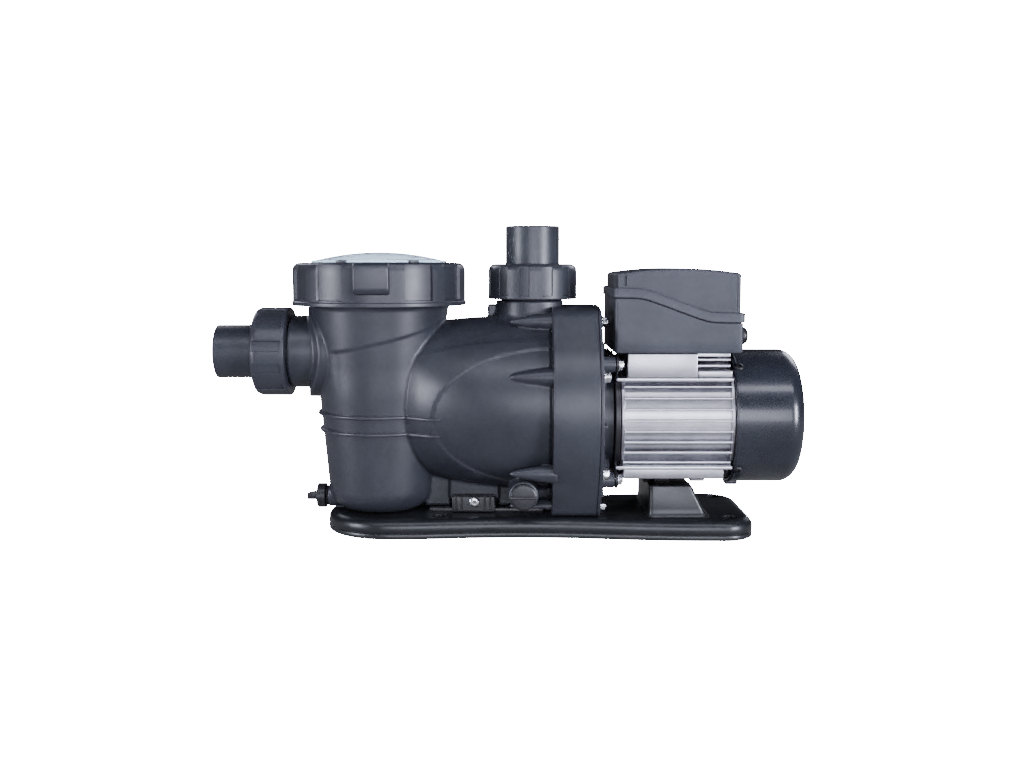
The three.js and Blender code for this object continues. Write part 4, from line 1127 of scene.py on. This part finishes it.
def make_fan_cover():
    front, back = low("fan_cover").x, high("fan_cover").x
    outer, wall, corner = 62.4, 2.2, 15

    def arc(radius, start, end, steps):
        turns = [math.radians(t) for t in np.linspace(start, end, steps)]
        return [(outer - corner + radius * math.cos(a), back - corner + radius * math.sin(a))
                for a in turns]

    profile = [(0.6, back - wall)] + arc(corner - wall, 90, 0, 13) + [
        (outer - wall, front + 12), (outer - wall, front + 0.4), (outer - wall + 0.4, front),
        (outer - 0.8, front), (outer, front + 0.8), (outer, front + 4), (outer, front + 20),
    ] + arc(corner, 0, 90, 15) + [(0.6, back)]
    shell = revolve("fan_cover_shell", profile, segments=144)
    tools = []
    for i in range(12):
        slot = block("slot", (back - 9, back + 3), (12, 44), (-2.4, 2.4), 2.3, 4)
        tools.append(round_shaft(slot, 30 * i))
    shell = carve(shell, [join("slots", tools)])
    cap = solid_turn("cap", [
        (0, back - 2.4), (8, back - 2.4), (8, back), (7.4, back + 0.3), (0, back + 0.3),
    ], segments=48)
    underside = SHAFT_Z - outer
    tab = block("tab", (front + 0.4, front + 12), (-7, 7), (underside - 3.4, underside + 1.5), 1.2)
    bead = revolve("bead", rounded([
        (outer - 0.6, front + 1.2, 0), (outer + 0.5, front + 1.4, 0.4),
        (outer + 0.5, front + 3.2, 0.4), (outer - 0.6, front + 3.4, 0),
    ]), segments=144)
    dress(join("fan_cover_moulding", [shell, cap, tab, bead]), "fan_cover")
    for i in range(1, 5):
        node = f"fan_cover_screw_{i}"
        spot = middle(node)
        at = (spot.x, 0, SHAFT_Z)
        head = domed_head("head", "y", at, outer + 0.3, 1, 4.0, 2.3)
        shank = rod("shank", 2, 59.3, outer + 1, "y", at, 20)
        screw = join(f"cover_screw_{i}", [head, shank])
        dress(turned(screw, "x", shaft_angle(spot), ON_SHAFT), node)


# ---- terminal box
BOX_X = (low("terminal_box").x, high("terminal_box").x)
BOX_HALF = high("terminal_box").y
BOX_FLOOR = low("terminal_box").z
CROWN_Z = high("terminal_box_cover").z
GLAND_Z = 175.0


def seam_height(x):
    """The seam falls in a straight slope with short bends at its ends."""
    ease = 6.0
    start, end = 122.0, 181.0

    def bent(value):
        return (value + math.sqrt(value * value + ease * ease)) / 2

    return 211.9 - 22.2 * (bent(x - start) - bent(x - end)) / (end - start)


def crown_height(x, drop):
    centre_x = (BOX_X[0] + BOX_X[1]) / 2
    s = (x - centre_x) / ((BOX_X[1] - BOX_X[0]) / 2)
    return CROWN_Z - 4.8 * s * s - drop


def box_loop(inset, height):
    """Plan outline of the box, drawn in by inset, at a height given as a function of x."""
    along, across, per_corner = 26, 10, 6
    x0, x1 = BOX_X[0] + inset, BOX_X[1] - inset
    half = BOX_HALF - inset
    radius = max(0.6, 3.4 - inset)
    points = []
    sides = (
        ((x1, radius - half), (x1, half - radius), across, (x1 - radius, half - radius)),
        ((x1 - radius, half), (x0 + radius, half), along, (x0 + radius, half - radius)),
        ((x0, half - radius), (x0, radius - half), across, (x0 + radius, radius - half)),
        ((x0 + radius, -half), (x1 - radius, -half), along, (x1 - radius, radius - half)),
    )
    for quarter, (start, end, steps, (cx, cy)) in enumerate(sides):
        for s in (i / steps for i in range(steps)):
            points.append(tuple(a + (b - a) * s for a, b in zip(start, end)))
        for i in range(per_corner):
            angle = math.radians(90 * (quarter + i / per_corner))
            points.append((cx + radius * math.cos(angle), cy + radius * math.sin(angle)))
    return [(x, y, height(x)) for x, y in points]


def above_seam(rise):
    return lambda x: seam_height(x) + rise


def make_terminal_box():
    loops = [box_loop(inset, lambda x: BOX_FLOOR + rise)
             for inset, rise in ((1.6, 0), (0.5, 0.4), (0, 1.6), (0, 12))]
    start = BOX_FLOOR + 12
    for s in (0.35, 0.7, 1.0):
        loops.append(box_loop(0, lambda x: start + (seam_height(x) - 0.6 - start) * s))
    for inset, rise in ((0.5, 0), (2.4, 0), (3, -1)):
        loops.append(box_loop(inset, above_seam(rise)))
    loops.append(box_loop(3, lambda x: BOX_FLOOR + 3))
    lower = loft("terminal_box_moulding", loops)
    hole = rod("hole", 6.4, 200, 216, "x", (0, 0, GLAND_Z), 40)
    dress(carve(lower, [hole]), "terminal_box")

    lift, skirt, out, inner = 0.5, 9.0, -1.5, 2.6
    loops = [box_loop(inset, above_seam(rise)) for inset, rise in (
        (4.4, lift + 1), (2.4, lift), (out + 0.5, lift), (out, lift + 0.6), (out, skirt - 0.9),
        (out + 0.3, skirt - 0.2), (out + 0.9, skirt), (inner - 0.3, skirt + 0.1),
        (inner, skirt + 0.4),
    )]
    edge_drop = 2.4
    for s in (0.3, 0.6, 0.9):
        loops.append(box_loop(inner, lambda x: (seam_height(x) + 11) * (1 - s)
                              + crown_height(x, edge_drop) * s))
    for extra, drop in ((0, edge_drop), (0.2, 1.5), (0.8, 0.7), (1.7, 0.2), (2.8, 0), (5, 0),
                        (12, 0), (24, 0), (38, 0), (50, 0)):
        loops.append(box_loop(inner + extra, lambda x: crown_height(x, drop)))
    notches = [block("notch", x, y, z, bevel, 1) for x, y, z, bevel in (
        ((105.4, 107.4), (-64, -55.6), (222.5, 231.5), 0.3),
        ((105.4, 107.4), (55.6, 64), (222.5, 231.5), 0.3),
        ((205.4, 206.1), (-64, -56.8), (200.5, 232), 0.2),
    )]
    dress(carve(loft("cover_top", loops), notches), "terminal_box_cover")

    spot = (BOX_X[1], 0, GLAND_Z)
    tube_wall = section(3.6, 6, -7, 9.7, 0, 0.4, 0, 0)
    dress(revolve("gland_tube", tube_wall, "x", spot, 40), "gland_body")

    def grip(angle, t, radius):
        return 0.35 * max(0.0, math.cos(angle * 14)) if radius > 8.2 and t < 11 else 0.0

    nut = revolve("gland_dome", [
        (6.3, 0.6), (7.9, 0.4), (8.4, 0.9), (8.4, 3), (8.4, 7), (8.4, 10), (8.3, 11.2), (8.0, 12.4),
        (7.3, 13.8), (6.2, 14.8), (5.0, 15.4), (4.0, 15.3), (3.6, 14.8), (3.6, 10.2), (6.3, 10.2),
    ], "x", spot, 112, relief=grip)
    dress(nut, "gland_nut")


# ---- drain plugs
def make_plugs():
    front = FRONT_PLUG_AT
    at = (front.x, 0, front.z)
    face = low("front_drain_plug").y
    head = solid_turn("front_plug_turning", [
        (0, face), (9.6, face), (10.7, face + 0.2), (11.5, face + 0.7), (11.85, face + 1.6),
        (11.85, -72.8), (11.4, -72.3), (6.6, -72.3), (6.6, -54.6), (6.0, -54), (0, -54),
    ], "y", at)
    slot = block("slot", (front.x - 16, front.x + 16), (face - 3, face + 2.6),
                 (front.z - 1.5, front.z + 1.5), 0.4, 2)
    dress(carve(head, [slot]), "front_drain_plug")
    seal = section(7.3, 10.3, -72, -70.3, 0.8)
    dress(revolve("front_plug_seal_ring", seal, "y", at, 64), "front_drain_o_ring")

    z = PLUG_AT.z
    at = (0, 0, z)
    cap = solid_turn("cap", [
        (0, -179.3), (9.8, -179.3), (11, -179.0), (11.65, -178.1), (11.65, -171.4), (11.2, -170.8),
        (4.2, -170.8), (4.2, -152.5), (3.8, -152), (0, -152),
    ], "x", at, 80)
    wing_side = [(-178, z - 4.2), (-189.5, z - 4), (-189.5, z + 1.8), (-187, z + 3.1),
                 (-178, z + 5.2)]
    wing = prism("wing", wing_side, (-2.1, 2.1), "y", 1.0)
    dress(join("pot_plug_moulding", [cap, wing]), "pot_drain_plug")
    seal = section(6.5, 9.5, -170.5, -168.8, 0.7)
    dress(revolve("pot_plug_seal_ring", seal, "x", at, 56), "pot_drain_o_ring")


make_housing()
make_lid()
make_basket()
make_union("inlet", "x", (0, 0, INLET_Z), -1, INLET_FACE, low("inlet_tailpiece").x, 199.2)
make_union("outlet", "z", (OUTLET_X, 0, 0), 1, OUTLET_FACE, high("outlet_tailpiece").z, -101.5)
make_base()
make_clamp()
make_seal_plate()
make_bolts()
make_frame()
make_fan_cover()
make_terminal_box()
make_plugs()


# ---- floor, light and camera
WHITE = 60.0
FLOOR_BOUNCE = 0.14


def switched(tree, shader, direct, output):
    """One shader for rays from the camera or through the clear lens, another for the rest."""
    path = add(tree, "LightPath", {}).outputs
    rays = {0: path["Is Camera Ray"], 1: path["Is Transmission Ray"]}
    seen = add(tree, "Math", rays, operation="MAXIMUM").outputs[0]
    switch = add(tree, "MixShader", {"Fac": seen, 1: shader, 2: direct}).outputs["Shader"]
    feed(tree, tree.nodes[output], {"Surface": switch})


def make_stage():
    tree, shader, coords = material("studio_floor")
    cloud = noise(tree, coords, 6.0, 3.0)
    grey = ramp(tree, cloud, [(0.3, (0.2, 0.2, 0.205)), (0.7, (0.22, 0.22, 0.22))])
    feed(tree, shader, {"Base Color": grey, "Roughness": 0.9})
    lit, bounce = (add(tree, "Emission", {"Strength": strength}).outputs["Emission"]
                   for strength in (WHITE, FLOOR_BOUNCE))
    both = add(tree, "AddShader", {0: shader.outputs["BSDF"], 1: bounce}).outputs["Shader"]
    switched(tree, both, lit, "Material Output")
    far = 14.0
    mesh = bpy.data.meshes.new("studio_floor")
    corners = [(-far, -far, 0), (far, -far, 0), (far, far, 0), (-far, far, 0)]
    mesh.from_pydata(corners, [], [(0, 1, 2, 3)])
    mesh.materials.append(MATS["studio_floor"])
    floor = linked("studio_floor", mesh)
    floor.location.z = -0.0004


def area_light(name, spot, target_x, size, power):
    data = bpy.data.lights.new(name, "AREA")
    data.energy = power
    data.color = (0.87, 0.895, 1.04)
    data.shape = "RECTANGLE"
    data.size, data.size_y = size
    lamp = linked(name, data)
    lamp.location = spot
    towards = Vector((target_x, 0, 0.12)) - Vector(spot)
    lamp.rotation_euler = towards.to_track_quat("-Z", "Y").to_euler()


def make_light():
    """White backdrop for the camera, a dim room for everything else, and soft lights."""
    world = bpy.data.worlds.new("studio")
    world.use_nodes = True
    tree = world.node_tree
    room = tree.nodes["Background"]
    feed(tree, room, {"Color": (0.82, 0.88, 1.0, 1.0), "Strength": 0.01})
    backdrop = add(tree, "Background", {"Strength": WHITE}).outputs["Background"]
    switched(tree, room.outputs["Background"], backdrop, "World Output")
    bpy.context.scene.world = world
    area_light("front", (0.2, -2.4, 0.3), 0, (1.6, 0.9), 42)
    area_light("overhead", (0.1, -1.0, 1.35), 0, (2.2, 0.25), 16)
    area_light("right", (1.75, -1.45, 0.3), 0.05, (0.5, 0.9), 86)
    area_light("left", (-1.95, -0.95, 0.3), -0.05, (0.5, 0.9), 48)
    area_light("back left", (-1.5, 1.9, 1.3), 0, (1.0, 1.0), 18)
    area_light("back right", (1.5, 1.9, 1.3), 0, (1.0, 1.0), 18)


def make_camera():
    data = bpy.data.cameras.new("camera")
    data.sensor_width = 36
    data.lens = 39.3
    camera = linked("camera", data)
    camera.location = (0.0059, -1.050, 0.2475)
    camera.rotation_euler = (math.radians(83.9), 0, 0)
    bpy.context.scene.camera = camera


make_stage()
make_light()
make_camera()
